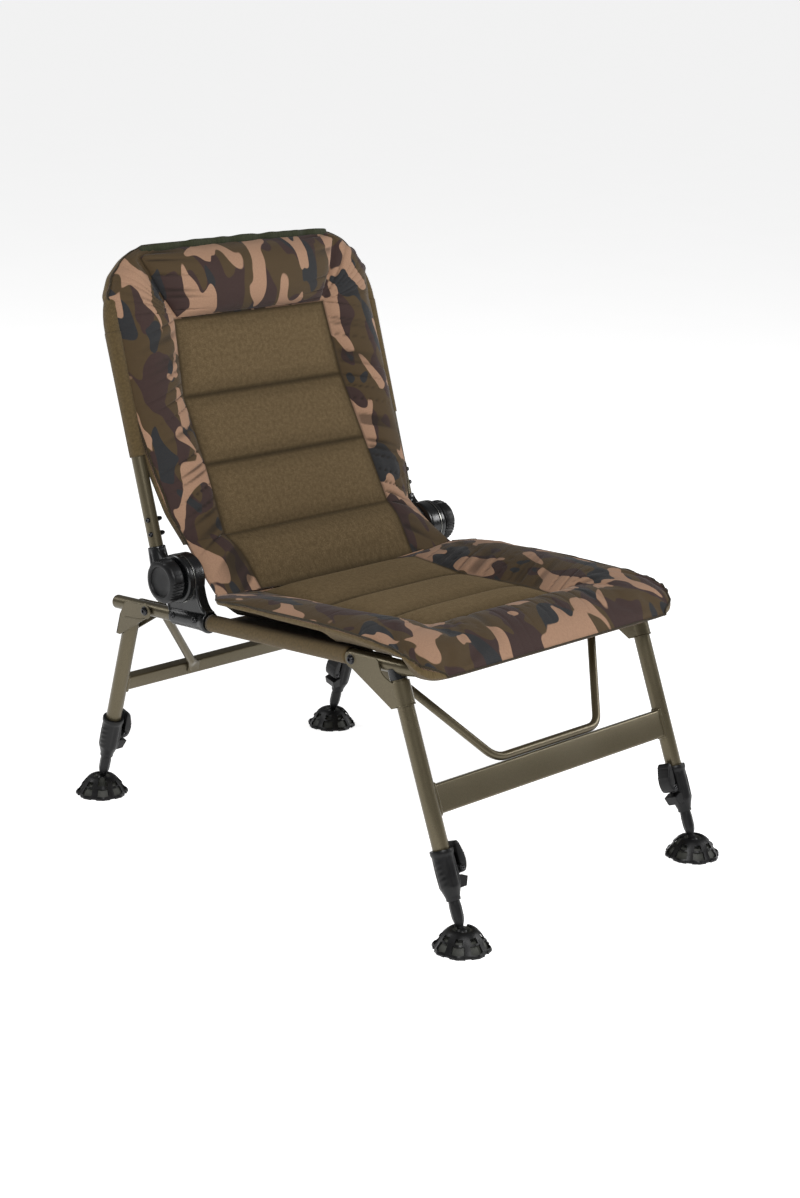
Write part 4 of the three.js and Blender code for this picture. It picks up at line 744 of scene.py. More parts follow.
# %% Seat and back mattress
def pad_piece(name, pad, body, node, hidden=None):
    """A pad as a piece: its skin, its cloth finish face by face, its print place and its swell."""
    share, grid, fleece_half, width = pad_skin(pad)
    rows, columns = grid.shape[:2]
    top = 2 * len(half_out) - 1
    middle_column = len(half_out) - 1
    inner = fleece_columns
    across = np.zeros((rows, columns))
    step = np.linalg.norm(np.diff(grid[:, :top], axis=1), axis=2)
    run = np.concatenate([np.zeros((rows, 1)), np.cumsum(step, axis=1)], axis=1)
    across[:, :top] = run - run[:, middle_column:middle_column + 1]
    across[:, top:] = grid[:, top:, 0] + 1.0
    down = np.broadcast_to((pad["length"] * share)[:, None], (rows, columns))
    cloth_place = np.stack([across, down, np.zeros_like(across)], axis=-1)
    last = pad["seams"][-1]
    to_seam = (run[:, middle_column + inner] - run[:, middle_column])[:, None]
    flank = np.abs(run - run[:, middle_column:middle_column + 1]) - to_seam
    seam_mark, fold_mark = np.full((rows, columns), 9.0), np.zeros((rows, columns, 3))
    to_row = np.min(np.abs(share[:, None] - np.array(pad["seams"])), axis=1)[:, None] * pad["length"]
    in_channels = (share <= last + 1e-9)[:, None]
    seam_mark[:, :top] = np.where(in_channels, np.where(flank < 0, np.minimum(-flank, to_row), flank),
                                  np.where(flank < 0, to_row, np.hypot(flank, to_row)))
    beyond = ((share - last) * pad["length"]).clip(0)[:, None]
    side_x, border_width = grid[:, :top, 0], (width - fleece_half)
    corner = np.arctan2(flank.clip(0), beyond + 1e-6)
    fold_mark[:, :top, 0] = np.where(in_channels, down[:, :top], np.where(flank < 0, side_x, 0.3 + np.sign(side_x) * (
        0.2 + 0.1 * corner)))
    fold_mark[:, :top, 1] = np.where(in_channels, flank.clip(0) / border_width, np.where(
        flank < 0, beyond, np.hypot(flank, beyond)) / ((1 - last) * pad["length"]))
    fold_mark[:, :top, 2] = np.interp(share, *np.transpose(pad["gathers"]))[:, None]
    fold_mark[:, :top, 0] += np.where(side_x < 0, 0.37, 0.0)

    column = np.arange(columns)
    over_fleece = (column >= middle_column - inner) & (column < middle_column + inner)
    channel_row = share[:-1] < pad["seams"][-1] - 1e-9
    under = (column >= top + 3) & (column < columns - 4)
    band = (column >= top) & (column < columns - 1) & ~under
    finish_of = np.where(over_fleece[None, :] & channel_row[:, None], 0,
                         np.where(under[None, :], 2, np.where(band[None, :], 3, 1)))
    piece = put(name, [skin(grid, around=True, ends=True)],
                [fleece.material, camouflage.material, canvas.material, tape.material], finish_of=finish_of.ravel(),
                marks={"cloth": cloth_place.reshape(-1, 3), "seam": seam_mark.ravel(),
                       "fold": fold_mark.reshape(-1, 3)}, crease=180, merge=False)
    hold_rims(piece, columns)

    sewn = np.zeros((rows, columns), bool)
    sewn[[0, -1]] = True
    sewn[:, top + 1:columns - 2] = True
    for seam in pad["seams"]:
        row = int(np.argmin(np.abs(share - seam)))
        sewn[row, middle_column - inner:middle_column + inner + 1] = True
    fleece_rows = share <= pad["seams"][-1] + 1e-9
    sewn[fleece_rows, middle_column - inner] = sewn[fleece_rows, middle_column + inner] = True
    if hidden:
        sewn[share > hidden, middle_column - inner:middle_column + inner + 1] = True
    border = np.ones((rows, columns))
    border[:, (column >= middle_column - inner + 1) & (column < middle_column + inner)] = 0.25
    border[~fleece_rows, :] = 1.0
    swell_cloth(piece, sewn.ravel(), border.ravel(), 3.0, 0.10, 0.012)
    edge = points_of(piece).reshape(rows, columns, 3)
    edge = np.concatenate([edge[:, 0], edge[-1, 1:top - 1], edge[::-1, top - 1]])
    refine(piece)
    gather(piece, pad["fold_depth"], pad["seed"])
    return piece, edge


seat_pad.update(gathers=[(0, 0.5), (0.1, 1.0), (0.6, 0.7), (0.72, 1.0), (1, 1.0)], fold_depth=0.0034, seed=11)
back_pad.update(gathers=[(0, 1.5), (0.25, 1.4), (0.5, 0.9), (1, 0.9)], fold_depth=0.0042, seed=5)
seat_cushion, seat_edge = pad_piece("seat mattress", seat_pad, "seat", "mattress_seat")
back_cushion, back_edge = pad_piece("back mattress", back_pad, "back", "mattress_back", hidden=0.76)


for piece, body, node in ((seat_cushion, "seat", "mattress_seat"), (back_cushion, "back", "mattress_back")):
    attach(piece, body)
    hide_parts(node)
rail_square, back_square = at(0.0, on_rail(0, 1.0) - on_rail(0)), at(0.0, on_back(0, 1.0) - on_back(0))
for name, edge, body, facing in (("seat_piping", seat_edge, "seat", rail_square),
                                 ("back_piping", back_edge, "back", back_square)):
    keep = np.concatenate([[True], np.linalg.norm(np.diff(edge, axis=0), axis=1) > 0.0004])
    outward = edge * (1, 0, 0) / np.abs(edge[:, :1]).max()
    piping = put(name, [corded((edge + outward * 0.0006)[keep], 0.0017, facing)], tape_dark.material, body)
print("pads:", len(seat_cushion.data.vertices), "and", len(back_cushion.data.vertices), "points")

# %% [markdown]
# ### The channel that folds
#
# Where the back meets the seat, one channel of fleece turns the corner and bends when the back
# moves. Its rows go from the seat pad's end to the back pad's end, and each row stands square to
# a direction that turns from the rail's to the upright's.

# %% Fold
fold_length = 0.075
fold_fleece_ends = (0.1655, 0.178)


def fold_skin(rows=22):
    """Rows between the two pads' ends: base, direction, heights and width go straight from one to
    the other, and the fleece swells by a half sine between them."""
    share = np.linspace(0, 1, rows)[:, None]
    start, end = on_rail(0.2452), on_back(0.0512)
    rail_up = on_rail(0.0, 1.0) - on_rail(0.0)
    ahead = on_back(0.0, 1.0) - on_back(0.0)
    base = start + (end - start) * share
    up = rail_up + (ahead - rail_up) * share
    up /= np.linalg.norm(up, axis=1, keepdims=True)
    mixed = lambda a, b: a + (b - a) * share
    fleece_half, width = mixed(*fold_fleece_ends), mixed(0.2545, 0.2385)
    seam, edge, low = mixed(0.0336, 0.0526), mixed(0.0432, 0.0370), mixed(0.0315, 0.0268)
    x_top = fleece_half * half_in + (width - fleece_half) * half_out
    swell = 0.006 * np.sqrt(np.sin(math.pi * share).clip(0)) * (1 - np.minimum(1, x_top / fleece_half) ** 5)
    roll = 0.0035 * np.sin(math.pi * half_out).clip(0) ** 0.6
    bow = 1 - 0.3 * np.sin(math.pi * share)
    high = (seam - (seam - edge) * half_out ** 2 + np.maximum(roll, swell)) * (1 + (bow - 1) * half_out ** 2)
    edge, low = edge * bow, low * bow
    x_side = width - 0.002 * side_steps ** 2 + 0 * share
    h_side = edge + (low - edge) * side_steps
    x_under = (width - 0.002) * under_steps + 0 * share
    plain = mixed(0.0022, 0.0262)
    h_under = plain + (low - plain) * ((x_under - 0.19) / 0.045).clip(0, 1)
    x, h = all_round(x_top, x_side, x_under, -1), all_round(high, h_side, h_under, 1)
    return at(x, base[:, None] + up[:, None] * h[..., None])


fold_grid = fold_skin()
fold_columns = fold_grid.shape[1]
fold_column = np.arange(fold_columns)
fold_middle = len(half_out) - 1
fold_top = 2 * len(half_out) - 1
fold_fleece = (fold_column >= fold_middle - fleece_columns) & (fold_column < fold_middle + fleece_columns)
fold_under = (fold_column >= fold_top + 2) & (fold_column < fold_columns - 3)
fold_finish = np.broadcast_to(np.where(fold_fleece, 0, np.where(fold_under, 2, 1)),
                              (len(fold_grid) - 1, fold_columns))
fold_run = np.linspace(0, fold_length, len(fold_grid))[:, None] + 0 * fold_grid[..., 0]
fold_place = np.stack([fold_grid[..., 0], fold_run - fold_length, 0 * fold_run], axis=-1)
fold_share = np.linspace(0, 1, len(fold_grid))
fold_out = np.abs(fold_grid[..., 0]) - np.interp(fold_share, [0, 1], fold_fleece_ends)[:, None]
fold_ends = np.minimum(fold_run, fold_length - fold_run)
fold_seam = np.where(fold_out < 0, np.minimum(fold_ends, -fold_out), np.minimum(fold_out, fold_ends + 0.002))
fold_seam[:, fold_top:] = 9.0
fold_mark = np.stack([fold_run + 0.2 * np.sign(fold_grid[..., 0]), fold_out.clip(0) / 0.07,
                      1.4 * (fold_column[None, :] < fold_top) + 0 * fold_run], axis=-1)
fold = put("folding channel", [skin(fold_grid, around=True, ends=True)],
           [fleece.material, camouflage.material, canvas.material], finish_of=fold_finish.ravel(),
           marks={"cloth": fold_place.reshape(-1, 3), "seam": fold_seam.ravel(), "fold": fold_mark.reshape(-1, 3)},
           crease=180, merge=False)
hold_rims(fold, fold_columns)
refine(fold)
gather(fold, 0.003, 3)
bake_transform(fold)
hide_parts("mattress_fold")
print("fold:", len(fold.data.vertices), "points")

# %% [markdown]
# ### The pillow
#
# The pillow is a roll of printed cloth, drawn in all round its foot. Its foot is flat on the
# mattress, its top rises as a half ellipse across the chair and along the back, and the cloth
# swells it. The ends and the lower edge are held, so the folds run in from them.

# %% Pillow
pillow_half_columns = 40
pillow_depth = 0.15


def pillow_skin(rows=44, half_columns=pillow_half_columns):
    """Height over the foot = loft times a rounded rise along the back, times a rounded fall
    towards the ends. The foot's half width grows from its lower edge to its upper edge."""
    t = 0.5 - 0.5 * np.cos(np.linspace(0, math.pi, rows))
    share = (0.748 + 0.235 * t)[:, None]
    width = 0.276 * np.interp(share, [0.748, 0.76, 0.85, 0.96, 0.983], [0.55, 0.565, 0.655, 0.74, 0.62])
    foot = 0.054 * smooth_table(back_pad["seam"], share[:, 0])[:, None] + 0.0009
    u = np.sin(np.linspace(0, 1, half_columns) * math.pi / 2)
    climb = np.interp(share, [0.748, 0.76, 0.8, 0.85, 0.91, 0.92, 0.96, 0.983],
                      [0.06, 0.55, 0.92, 1.0, 0.95, 0.9, 0.5, 0.05])
    high = foot + 0.0015 + 0.034 * climb * (1 - u ** 2.6) ** 0.55
    x_top = width * u
    x = np.concatenate([-x_top[:, :0:-1], x_top, x_top[:, -2::-1], -x_top[:, 1:-1]], axis=1)
    h = np.concatenate([high[:, :0:-1], high, (foot + 0 * x_top)[:, -2::-1], (foot + 0 * x_top)[:, 1:-1]], axis=1)
    return np.concatenate([x[..., None], on_back(back_pad["start"] + back_pad["length"] * share, h)], -1)


pillow_grid = pillow_skin()
pillow_rows, pillow_columns = pillow_grid.shape[:2]
pillow_top = 2 * pillow_half_columns - 1
pillow_place = np.stack([pillow_grid[..., 0], np.broadcast_to(
    np.linspace(0, pillow_depth, pillow_rows)[:, None], (pillow_rows, pillow_columns)), 0 * pillow_grid[..., 0]], -1)
pillow_out = 1 - np.abs(pillow_grid[..., 0]) / np.abs(pillow_grid[..., 0]).max(axis=1, keepdims=True)
pillow_run = np.linspace(0, pillow_depth, pillow_rows)[:, None] + 0 * pillow_out
pillow_mark = np.stack([pillow_run + 0.3 * (pillow_grid[..., 0] > 0), pillow_out * 2.2, 1 + 0 * pillow_out], axis=-1)
pillow_mark[:, pillow_top:, 2] = 0
pillow = put("pillow roll", [skin(pillow_grid, around=True, ends=True)], pillow_print.material,
             marks={"cloth": pillow_place.reshape(-1, 3), "seam": np.full(pillow_out.size, 9.0),
                    "fold": pillow_mark.reshape(-1, 3)}, crease=180, merge=False)
pillow_sewn = np.zeros((pillow_rows, pillow_columns), bool)
pillow_sewn[[0, -1]] = True
pillow_sewn[:, pillow_top - 1:] = True
pillow_sewn[:, 0] = True
swell_cloth(pillow, pillow_sewn.ravel(), np.ones(pillow_sewn.size), 4.0, 0.12, 0.012)
refine(pillow)
gather(pillow, 0.0036, 21, slant=0.01)
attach(pillow, "back")
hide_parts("pillow")

# %% Binding of the pillow
binding_half = 0.196
binding_x = np.linspace(-binding_half, binding_half, 90)
wave = (1.1 * np.sin(binding_x / 0.0085) + 0.9 * np.sin(binding_x / 0.0137 + 1.0)
        + 0.6 * np.sin(binding_x / 0.0052 + 2.0))
binding_share = 0.983 + 0.004 * np.cos(binding_x / binding_half * math.pi / 2)
binding_path = at(binding_x, on_back(back_pad["start"] + back_pad["length"] * binding_share,
                                     0.0190 + 0.0013 * wave - 0.009 * (binding_x / binding_half) ** 4))
binding = put("pillow_binding", [corded(binding_path, 0.0072 + 0.0006 * wave / 2, (0, 1, 0), 14, 0.5)],
              binding_cloth.material, "back",
              marks={"cloth": np.repeat(np.stack([binding_x, 0 * binding_x, 0 * binding_x], axis=-1), 14, axis=0)},
              merge=False)
print("binding of", round(float(np.ptp(binding_x)) * 1000), "mm")

# %% [markdown]
# ## Slings
#
# Under the mattress a sheet of canvas is stretched between the tubes, with a sleeve sewn round
# each. It could be two tubes and a flat sheet, but the real one is one cut of cloth, so one
# line is drawn across the chair, round a tube, over the gap and round the other tube, and this
# line is carried along the frame. Solidify gives the cloth its thickness.

# %% Seat sling and back sling
def sling_line(tube_x, sag):
    """Half of the line across the chair: from the hem under the web, round the tube from below
    to above, and then along the web to the middle, where it hangs by the sag."""
    radius = tube_radius + 1.7 * mm
    angle = np.linspace(-math.pi * 0.93, math.pi * 0.93, 41)
    round_tube = np.stack([tube_x + radius * np.cos(angle), radius * np.sin(angle)], axis=1)
    hem = np.linspace([tube_x - radius - 0.028, -0.0016], round_tube[0], 9)[:-1]
    x = np.linspace(tube_x - radius - 0.004, 0, 40)
    web = np.stack([x, 0.0004 - sag * (1 - (x / tube_x) ** 2)], axis=1)
    return np.concatenate([hem, round_tube, web])


def sling(name, tube_x, ruler, start, end, sag, body, node):
    half_line = sling_line(tube_x, sag)
    line = np.concatenate([half_line, half_line[-2::-1] * (-1, 1)])
    along = np.linspace(start, end, 48)[:, None]
    grid = at(line[None, :, 0], ruler(along, line[None, :, 1]))
    width = np.concatenate([[0], np.cumsum(np.linalg.norm(np.diff(line, axis=0), axis=1))])
    place = np.stack([np.broadcast_to(width, grid.shape[:2]), np.broadcast_to(along, grid.shape[:2]),
                      0 * grid[..., 0]], axis=-1)
    piece = put(name, [skin(grid)], canvas.material, body, marks={"cloth": place.reshape(-1, 3)}, merge=False)
    wall = piece.modifiers.new("thickness", "SOLIDIFY")
    wall.thickness, wall.offset = 0.9 * mm, 0
    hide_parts(node)
    print(name, "cut to", np.round([width[-1], end - start], 3))
    return piece


sling("seat sling cloth", rail_x, on_rail, 0.2306, 0.5419, 0.004, "seat", "seat_sling")
sling("back sling cloth", back_x, on_back, 0.196, 0.3905, 0.003, "back", "back_sling")

# %% Sleeves under the pocket
bend = 2 + 16
sleeve_path = np.concatenate([[at(-back_x, on_back(0.386))], back_path[1:bend - 6]])
sleeve_part = swept(sleeve_path, ring(12.3 * mm, 32), np.cross(back_path[1] - back_path[0], (1, 0, 0)))
sleeves = put("back_sleeve_ends", [sleeve_part, other_side(sleeve_part)], canvas.material, "back",
              marks={"cloth": np.concatenate([sleeve_part[0], sleeve_part[0]])}, merge=False)
print("sleeve stations:", len(sleeve_path))

# %% [markdown]
# ## Turned and moulded parts
#
# Most of the hard parts are turned shapes: a profile is spun about an axis, and a ripple changes
# the radius round the axis, which gives a knob its ribs and a nut its six flats. The hinge
# castings are several such shapes melted into one. Booleans could join them, but their seams
# would be sharp, so a voxel remesh and a smoothing turn the joints into the fillets of a casting.

# %% Helpers for hard parts
side_sign = {"left": 1, "right": -1}


def both_sides(part, side):
    """A skin built for the left stays, and the right one is its mirror image."""
    return part if side == "left" else other_side(part)


def hard_piece(name, skins, finish, body, node, crease=38, finish_of=None):
    """A hard part that stands for one solid: it rides on a body, and the solid it stands for, if given, is hidden."""
    piece = put(name, skins, finish, body, crease=crease, finish_of=finish_of)
    if node:
        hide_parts(*([node] if isinstance(node, str) else node))
    return piece


def cast(name, skins, finish, body, node, voxel=1.0 * mm, rounds=5):
    """Closed shapes that overlap, remeshed with cubes of the voxel's size into one skin and smoothed
    for some rounds, as a casting's corners are."""
    rough = put(name + "_rough", skins, finish)
    melt = rough.modifiers.new("melt", "REMESH")
    melt.mode, melt.voxel_size = "VOXEL", voxel
    ease = rough.modifiers.new("ease", "SMOOTH")
    ease.factor, ease.iterations = 0.5, rounds
    mesh = finished_mesh(rough)
    old = rough.data
    bpy.data.objects.remove(rough)
    bpy.data.meshes.remove(old)
    mesh.materials.clear()
    mesh.materials.append(finish)
    mesh.name = name
    mesh.polygons.foreach_set("use_smooth", np.ones(len(mesh.polygons), bool))
    mesh.polygons.foreach_set("material_index", np.zeros(len(mesh.polygons), np.int32))
    piece = bpy.data.objects.new(name, mesh)
    bpy.context.scene.collection.objects.link(piece)
    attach(piece, body)
    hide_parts(node)
    print(name, len(mesh.polygons), "faces")
    return piece


def screw(place, axis, radius, height):
    """A domed head with a socket, standing on place and pointing along axis."""
    profile = [(0, -1.0 * mm), (radius, -1.0 * mm), (radius, 0.25 * height), (0.86 * radius, 0.66 * height),
               (0.6 * radius, 0.93 * height), (0.42 * radius, height), (0.36 * radius, 0.9 * height),
               (0.34 * radius, 0.4 * height), (0, 0.4 * height)]
    return spun(profile, place, axis, sides=20)


rail_forward = at(0.0, on_rail(1.0) - on_rail(0.0))
back_upward = at(0.0, on_back(1.0) - on_back(0.0))
hinge_place = (0.0, *hinge)

# %% [markdown]
# ### The recline hinge
#
# Each hinge is two discs pressed together. The lower casting is clamped on the rail, the upper
# one holds the upright in a fluted socket, and a bright washer shows as a thin line between them.

# %% Lower castings
def curve_of(start, control, end, steps=12):
    """A bow from start to end pulled towards a control point: the quadratic mean of the three."""
    t = np.linspace(0, 1, steps + 1)[:, None]
    start, control, end = (np.asarray(point, float) for point in (start, control, end))
    return (1 - t) ** 2 * start + 2 * t * (1 - t) * control + t ** 2 * end


def lower_casting():
    """Left casting: the inner disc, the grip round the rail, the web between and its raised rim."""
    disc = spun([(0, 247.6 * mm), (31 * mm, 246.6 * mm), (36 * mm, 248.0 * mm), (38 * mm, 251.0 * mm),
                 (38 * mm, 267.6 * mm), (36.6 * mm, 269.0 * mm), (0, 269.0 * mm)], hinge_place, (1, 0, 0), 96)
    grip = spun([(0, 141.6 * mm), (12.6 * mm, 141.6 * mm), (14.4 * mm, 144.6 * mm), (14.6 * mm, 190 * mm),
                 (15.4 * mm, 214 * mm), (17 * mm, 222 * mm), (17.2 * mm, 227.2 * mm), (15.6 * mm, 228.6 * mm),
                 (0, 228.6 * mm)], at(rail_x, on_rail(0.0)), rail_forward, 72)
    rear = curve_of((0.1418, 0.004), (0.1335, 0.020), (0.1375, 0.048), 6)
    front = curve_of((0.2050, 0.0611), (0.2103, 0.0190), (0.2262, 0.0158), 14)
    outline = np.concatenate([rear, [(0.1600, 0.0643)], front, [(0.2262, 0.0)], [(0.1420, 0.0)]])
    web = slab(on_rail(outline[:, 0], outline[:, 1]), 248.5 * mm, 267.5 * mm, 1.2 * mm)
    rims = []
    for line in (front, rear[::-1]):
        path = at(267.0 * mm, on_rail(line[:, 0], line[:, 1]))
        rims.append(swept(path, ring(2.6 * mm, 16), (1, 0, 0)))
    return [disc, grip, web, *rims]


for side in side_sign:
    cast("hinge_lower_" + side, [both_sides(part, side) for part in lower_casting()], casting_finish.material,
         "seat", "seat_casting_" + side)

# %% Upper castings
def upper_casting():
    """Left casting: the outer disc, the arm and the fluted socket with its rim."""
    disc = spun([(0, 270.4 * mm), (36.8 * mm, 270.4 * mm), (38 * mm, 271.6 * mm), (38 * mm, 278.8 * mm),
                 (35.8 * mm, 281.0 * mm), (0, 281.0 * mm)], hinge_place, (1, 0, 0), 96)
    flutes = lambda angle, height, radius: np.where((height > 24 * mm) & (height < 50 * mm),
                                                    -2.0 * mm * np.cos(6 * angle).clip(0) ** 2, 0)
    socket = spun([(0, 14 * mm), (14.4 * mm, 14 * mm), (15.6 * mm, 20 * mm), (15.2 * mm, 32 * mm), (14.4 * mm, 44 * mm),
                   (14.0 * mm, 51 * mm), (14.2 * mm, 53 * mm), (13.6 * mm, 54.4 * mm), (12.2 * mm, 54.6 * mm),
                   (11.6 * mm, 50 * mm), (0, 50 * mm)], at(back_x, on_back(0.0)), back_upward, 84, flutes)
    front = curve_of((0.0, 0.0648), (0.036, 0.0150), (0.0505, 0.0135), 12)
    outline = np.concatenate([front, [(0.0505, -0.0095), (0.024, -0.0105), (0.0, -0.0018), (-0.0266, 0.0116)]])
    arm = slab(on_back(outline[:, 0], outline[:, 1]), 270.6 * mm, 280.6 * mm, 1.4 * mm)
    return [disc, socket, arm]


for side in side_sign:
    cast("hinge_upper_" + side, [both_sides(part, side) for part in upper_casting()], casting_finish.material,
         "back", "back_casting_" + side)
    inner, outer, low, high = 30 * mm, 38.35 * mm, 269.35 * mm, 270.25 * mm
    washer = spun([(inner, low), (outer, low), (outer, high), (inner, high), (inner, low)], hinge_place, (1, 0, 0), 96)
    hard_piece("hinge_washer_" + side, [both_sides(washer, side)], bright_finish.material, "back", None)

# %% Clamp knobs and studs
def knob_ribs(angle, height, radius):
    """Three ribbed zones of ten ribs: half a wave deep where the angle is within a zone."""
    inside = np.cos(3 * (angle - 112 * degree)) > 0.1
    ribs = -2.3 * mm * (0.5 - 0.5 * np.cos(39 * angle)) ** 0.8
    flats = -0.5 * mm * np.cos(6 * angle) ** 8
    on_wall = (radius > 33.2 * mm) & (height > 287 * mm) & (height < 308 * mm)
    return np.where(on_wall, np.where(inside, ribs, flats), 0)


knob_profile = [(0, 281.8), (13.6, 281.8), (14, 282.4), (14, 285.9), (28.5, 285.9), (32.6, 287.0), (33.6, 288.4),
                (34.4, 290.5), (34.5, 296), (34.5, 302), (34.3, 304.0), (33.5, 305.8), (31.4, 307.4), (29.0, 308.7),
                (26.6, 309.25), (24.8, 309.3), (23.9, 308.9), (23.2, 307.4), (22.8, 305.6), (21.6, 305.0), (12, 304.9),
                (0, 304.9)]
for side in side_sign:
    knob = spun(np.array(knob_profile) * mm, hinge_place, (1, 0, 0), 420, knob_ribs)
    hard_piece("clamp_knob_" + side, [both_sides(knob, side)], plastic.material, "knob_" + side, "knob_" + side,
               crease=50)

# %% Screws of the hinges
grip_places = [at(274.6 * mm, on_rail(0.1535, 0.0035)), at(275.6 * mm, on_rail(0.2075, 0.0040))]
grip_screws = [screw(place, (1, 0, 0), 3.4 * mm, 2.4 * mm) for place in grip_places]
collars = [spun([(3.9 * mm, -1.5 * mm), (5.4 * mm, -1.5 * mm), (5.4 * mm, 0.5 * mm), (4.9 * mm, 0.9 * mm),
                 (4.3 * mm, 0.9 * mm), (3.9 * mm, 0.5 * mm), (3.9 * mm, -1.5 * mm)], place, (1, 0, 0), 28)
           for place in grip_places]
tube_screws = [screw(at(back_x + way * 9.6 * mm, on_back(along, 5 * mm)), (way, 0, 0), 4.0 * mm, high)
               for along in (0.0735, 0.096) for way, high in ((1, 3.9 * mm), (-1, 7.2 * mm))]
for side in side_sign:
    hard_piece("grip_screws_" + side, [both_sides(part, side) for part in grip_screws], bolt_finish.material,
               "seat", None)
    hard_piece("grip_screw_collars_" + side, [both_sides(part, side) for part in collars], casting_finish.material,
               "seat", None)
    hard_piece("upright_screws_" + side, [both_sides(part, side) for part in tube_screws], bolt_finish.material,
               "back", None)
print("screws:", 2 * (len(grip_screws) + len(tube_screws)))

# %% [markdown]
# ### Rail ends and pivot bolts
#
# The rear end of each rail closes with a painted round cap. A leg frame folds about one bolt a
# side, with a domed head outside, a washer, and a hexagon nut inside.

# %% Rail ends and pivot bolts
cap_profile = [(0, -18), (9.1, -18), (9.1, 0.0), (11, 0.2), (11.05, 1.2), (10.6, 2.6), (9.2, 3.9), (6.6, 4.7),
               (3.2, 5.0), (0, 5.05)]
hexagon = lambda angle, height, radius: np.where(
    (height < -19.9 * mm) & (radius > 6.4 * mm),
    7 * mm * (math.cos(30 * degree) / np.cos((angle % (60 * degree)) - 30 * degree)) - radius, 0)
bolt_profile = [(0, -25.7), (6.5, -25.7), (7.0, -25.2), (7.0, -20.4), (6.6, -20.0), (7.6, -19.9), (7.6, -19.2),
                (3.9, -19.2), (3.9, 15.1), (7.4, 15.1), (7.4, 15.9), (6.2, 16.0), (6.15, 17.2), (5.3, 18.6), (3.9, 19.2), (2.5, 19.35),
                (2.2, 18.6), (2.1, 17.2), (0, 17.2)]
pivots = {"front": 0.5569, "rear": 0.0857}
for side in side_sign:
    cap = spun(np.array(cap_profile) * mm, at(rail_x, on_rail(0.0)), -rail_forward, 48)
    hard_piece("rail_end_" + side, [both_sides(cap, side)], paint.material, "seat", "rail_plug_" + side)
    for end, along in pivots.items():
        bolt = spun(np.array(bolt_profile) * mm, at(rail_x, on_rail(along)), (1, 0, 0), 48, hexagon)
        hard_piece(f"{end}_bolt_{side}", [both_sides(bolt, side)], bolt_finish.material, "seat",
                   f"{end}_pivot_bolt_{side}", crease=30)
print("rail ends at", np.round(on_rail(0.0), 3))

# %% [markdown]
# ## Leg frames
#
# Everything on a leg is drawn in the leg's own frame: the ball's centre is the origin and Z runs
# up the leg. One turn about X and one move bring it into the chair.

# %% The legs' own frames
leg_turn = {"front": -21.7034 * degree, "rear": 16.1940 * degree}
foot_y = {"front": -413.5 * mm, "rear": 413.5 * mm}
leg_top = {"front": 370.3 * mm, "rear": 313.9 * mm}
sleeve_low = {"front": 331.5 * mm, "rear": 278.2 * mm}
ball_height = 22 * mm


def to_chair(end, points):
    """Leg places in the chair: y and z turned by the leg's lean, then moved to the ball's centre."""
    x, y, z = np.moveaxis(np.asarray(points, float), -1, 0)
    turn = leg_turn[end]
    return np.stack([x, foot_y[end] + y * math.cos(turn) - z * math.sin(turn),
                     ball_height + y * math.sin(turn) + z * math.cos(turn)], axis=-1)


def to_leg(end, yz):
    """The way back for a place (y, z) of the chair."""
    y, z = yz[0] - foot_y[end], yz[1] - ball_height
    turn = leg_turn[end]
    return np.array([y * math.cos(turn) + z * math.sin(turn), z * math.cos(turn) - y * math.sin(turn)])


def in_leg(end, part):
    points, faces, caps = part
    return to_chair(end, points), faces, caps


leg_pivot = {end: to_leg(end, on_rail(along)) for end, along in pivots.items()}
leg_rail = {end: to_leg(end, on_rail(along + (0.1 if end == "front" else -0.1))) - leg_pivot[end]
            for end, along in pivots.items()}
leg_rail = {end: way / np.linalg.norm(way) for end, way in leg_rail.items()}
leg_lift = {end: to_leg(end, on_rail(along, 0.1)) - leg_pivot[end] for end, along in pivots.items()}
leg_lift = {end: way / np.linalg.norm(way) for end, way in leg_lift.items()}


def by_pivot(end, along, up):
    """Places (y, z) in the leg's frame: from the pivot along the rail towards the leg, and up from it."""
    along, up = np.broadcast_arrays(np.asarray(along, float) * mm, np.asarray(up, float) * mm)
    return leg_pivot[end] + along[..., None] * leg_rail[end] + up[..., None] * leg_lift[end]


print("pivots in the legs' frames", {end: np.round(place, 4) for end, place in leg_pivot.items()})

# %% Leg tubes and saddles
def saddle_skin(end):
    """A plug whose top is the rail's underside: for a place (x, y) the height is where the rail's
    round, x away from its middle, is met, and never more than the rim's."""
    profile = np.array([(0, -15), (10.2, -15), (10.2, 0.4), (12.7, 0.5), (12.8, 1.4)]) * mm
    angle = np.linspace(0, 2 * math.pi, 48, endpoint=False)
    low = np.stack([profile[:, :1] * np.cos(angle), profile[:, :1] * np.sin(angle),
                    leg_top[end] + profile[:, 1:] + 0 * angle], axis=-1)
    radius = np.linspace(12.6, 0.01, 14)[:, None] * mm
    x, y = radius * np.cos(angle), radius * np.sin(angle)
    drop = -np.sqrt((11.4 * mm) ** 2 - np.minimum(np.abs(x), 11.39 * mm) ** 2)
    run = (y - leg_pivot[end][0] - leg_lift[end][0] * drop) / leg_rail[end][0]
    height = leg_pivot[end][1] + leg_rail[end][1] * run + leg_lift[end][1] * drop
    rim = -leg_pivot[end][0] / leg_rail[end][0] * leg_rail[end][1] + leg_pivot[end][1] - 3 * mm
    height = np.clip(height, leg_top[end] + 2 * mm, rim)
    return skin(np.concatenate([low, np.stack([x, y, height], axis=-1)]) + (rail_x, 0, 0), around=True, ends=True)


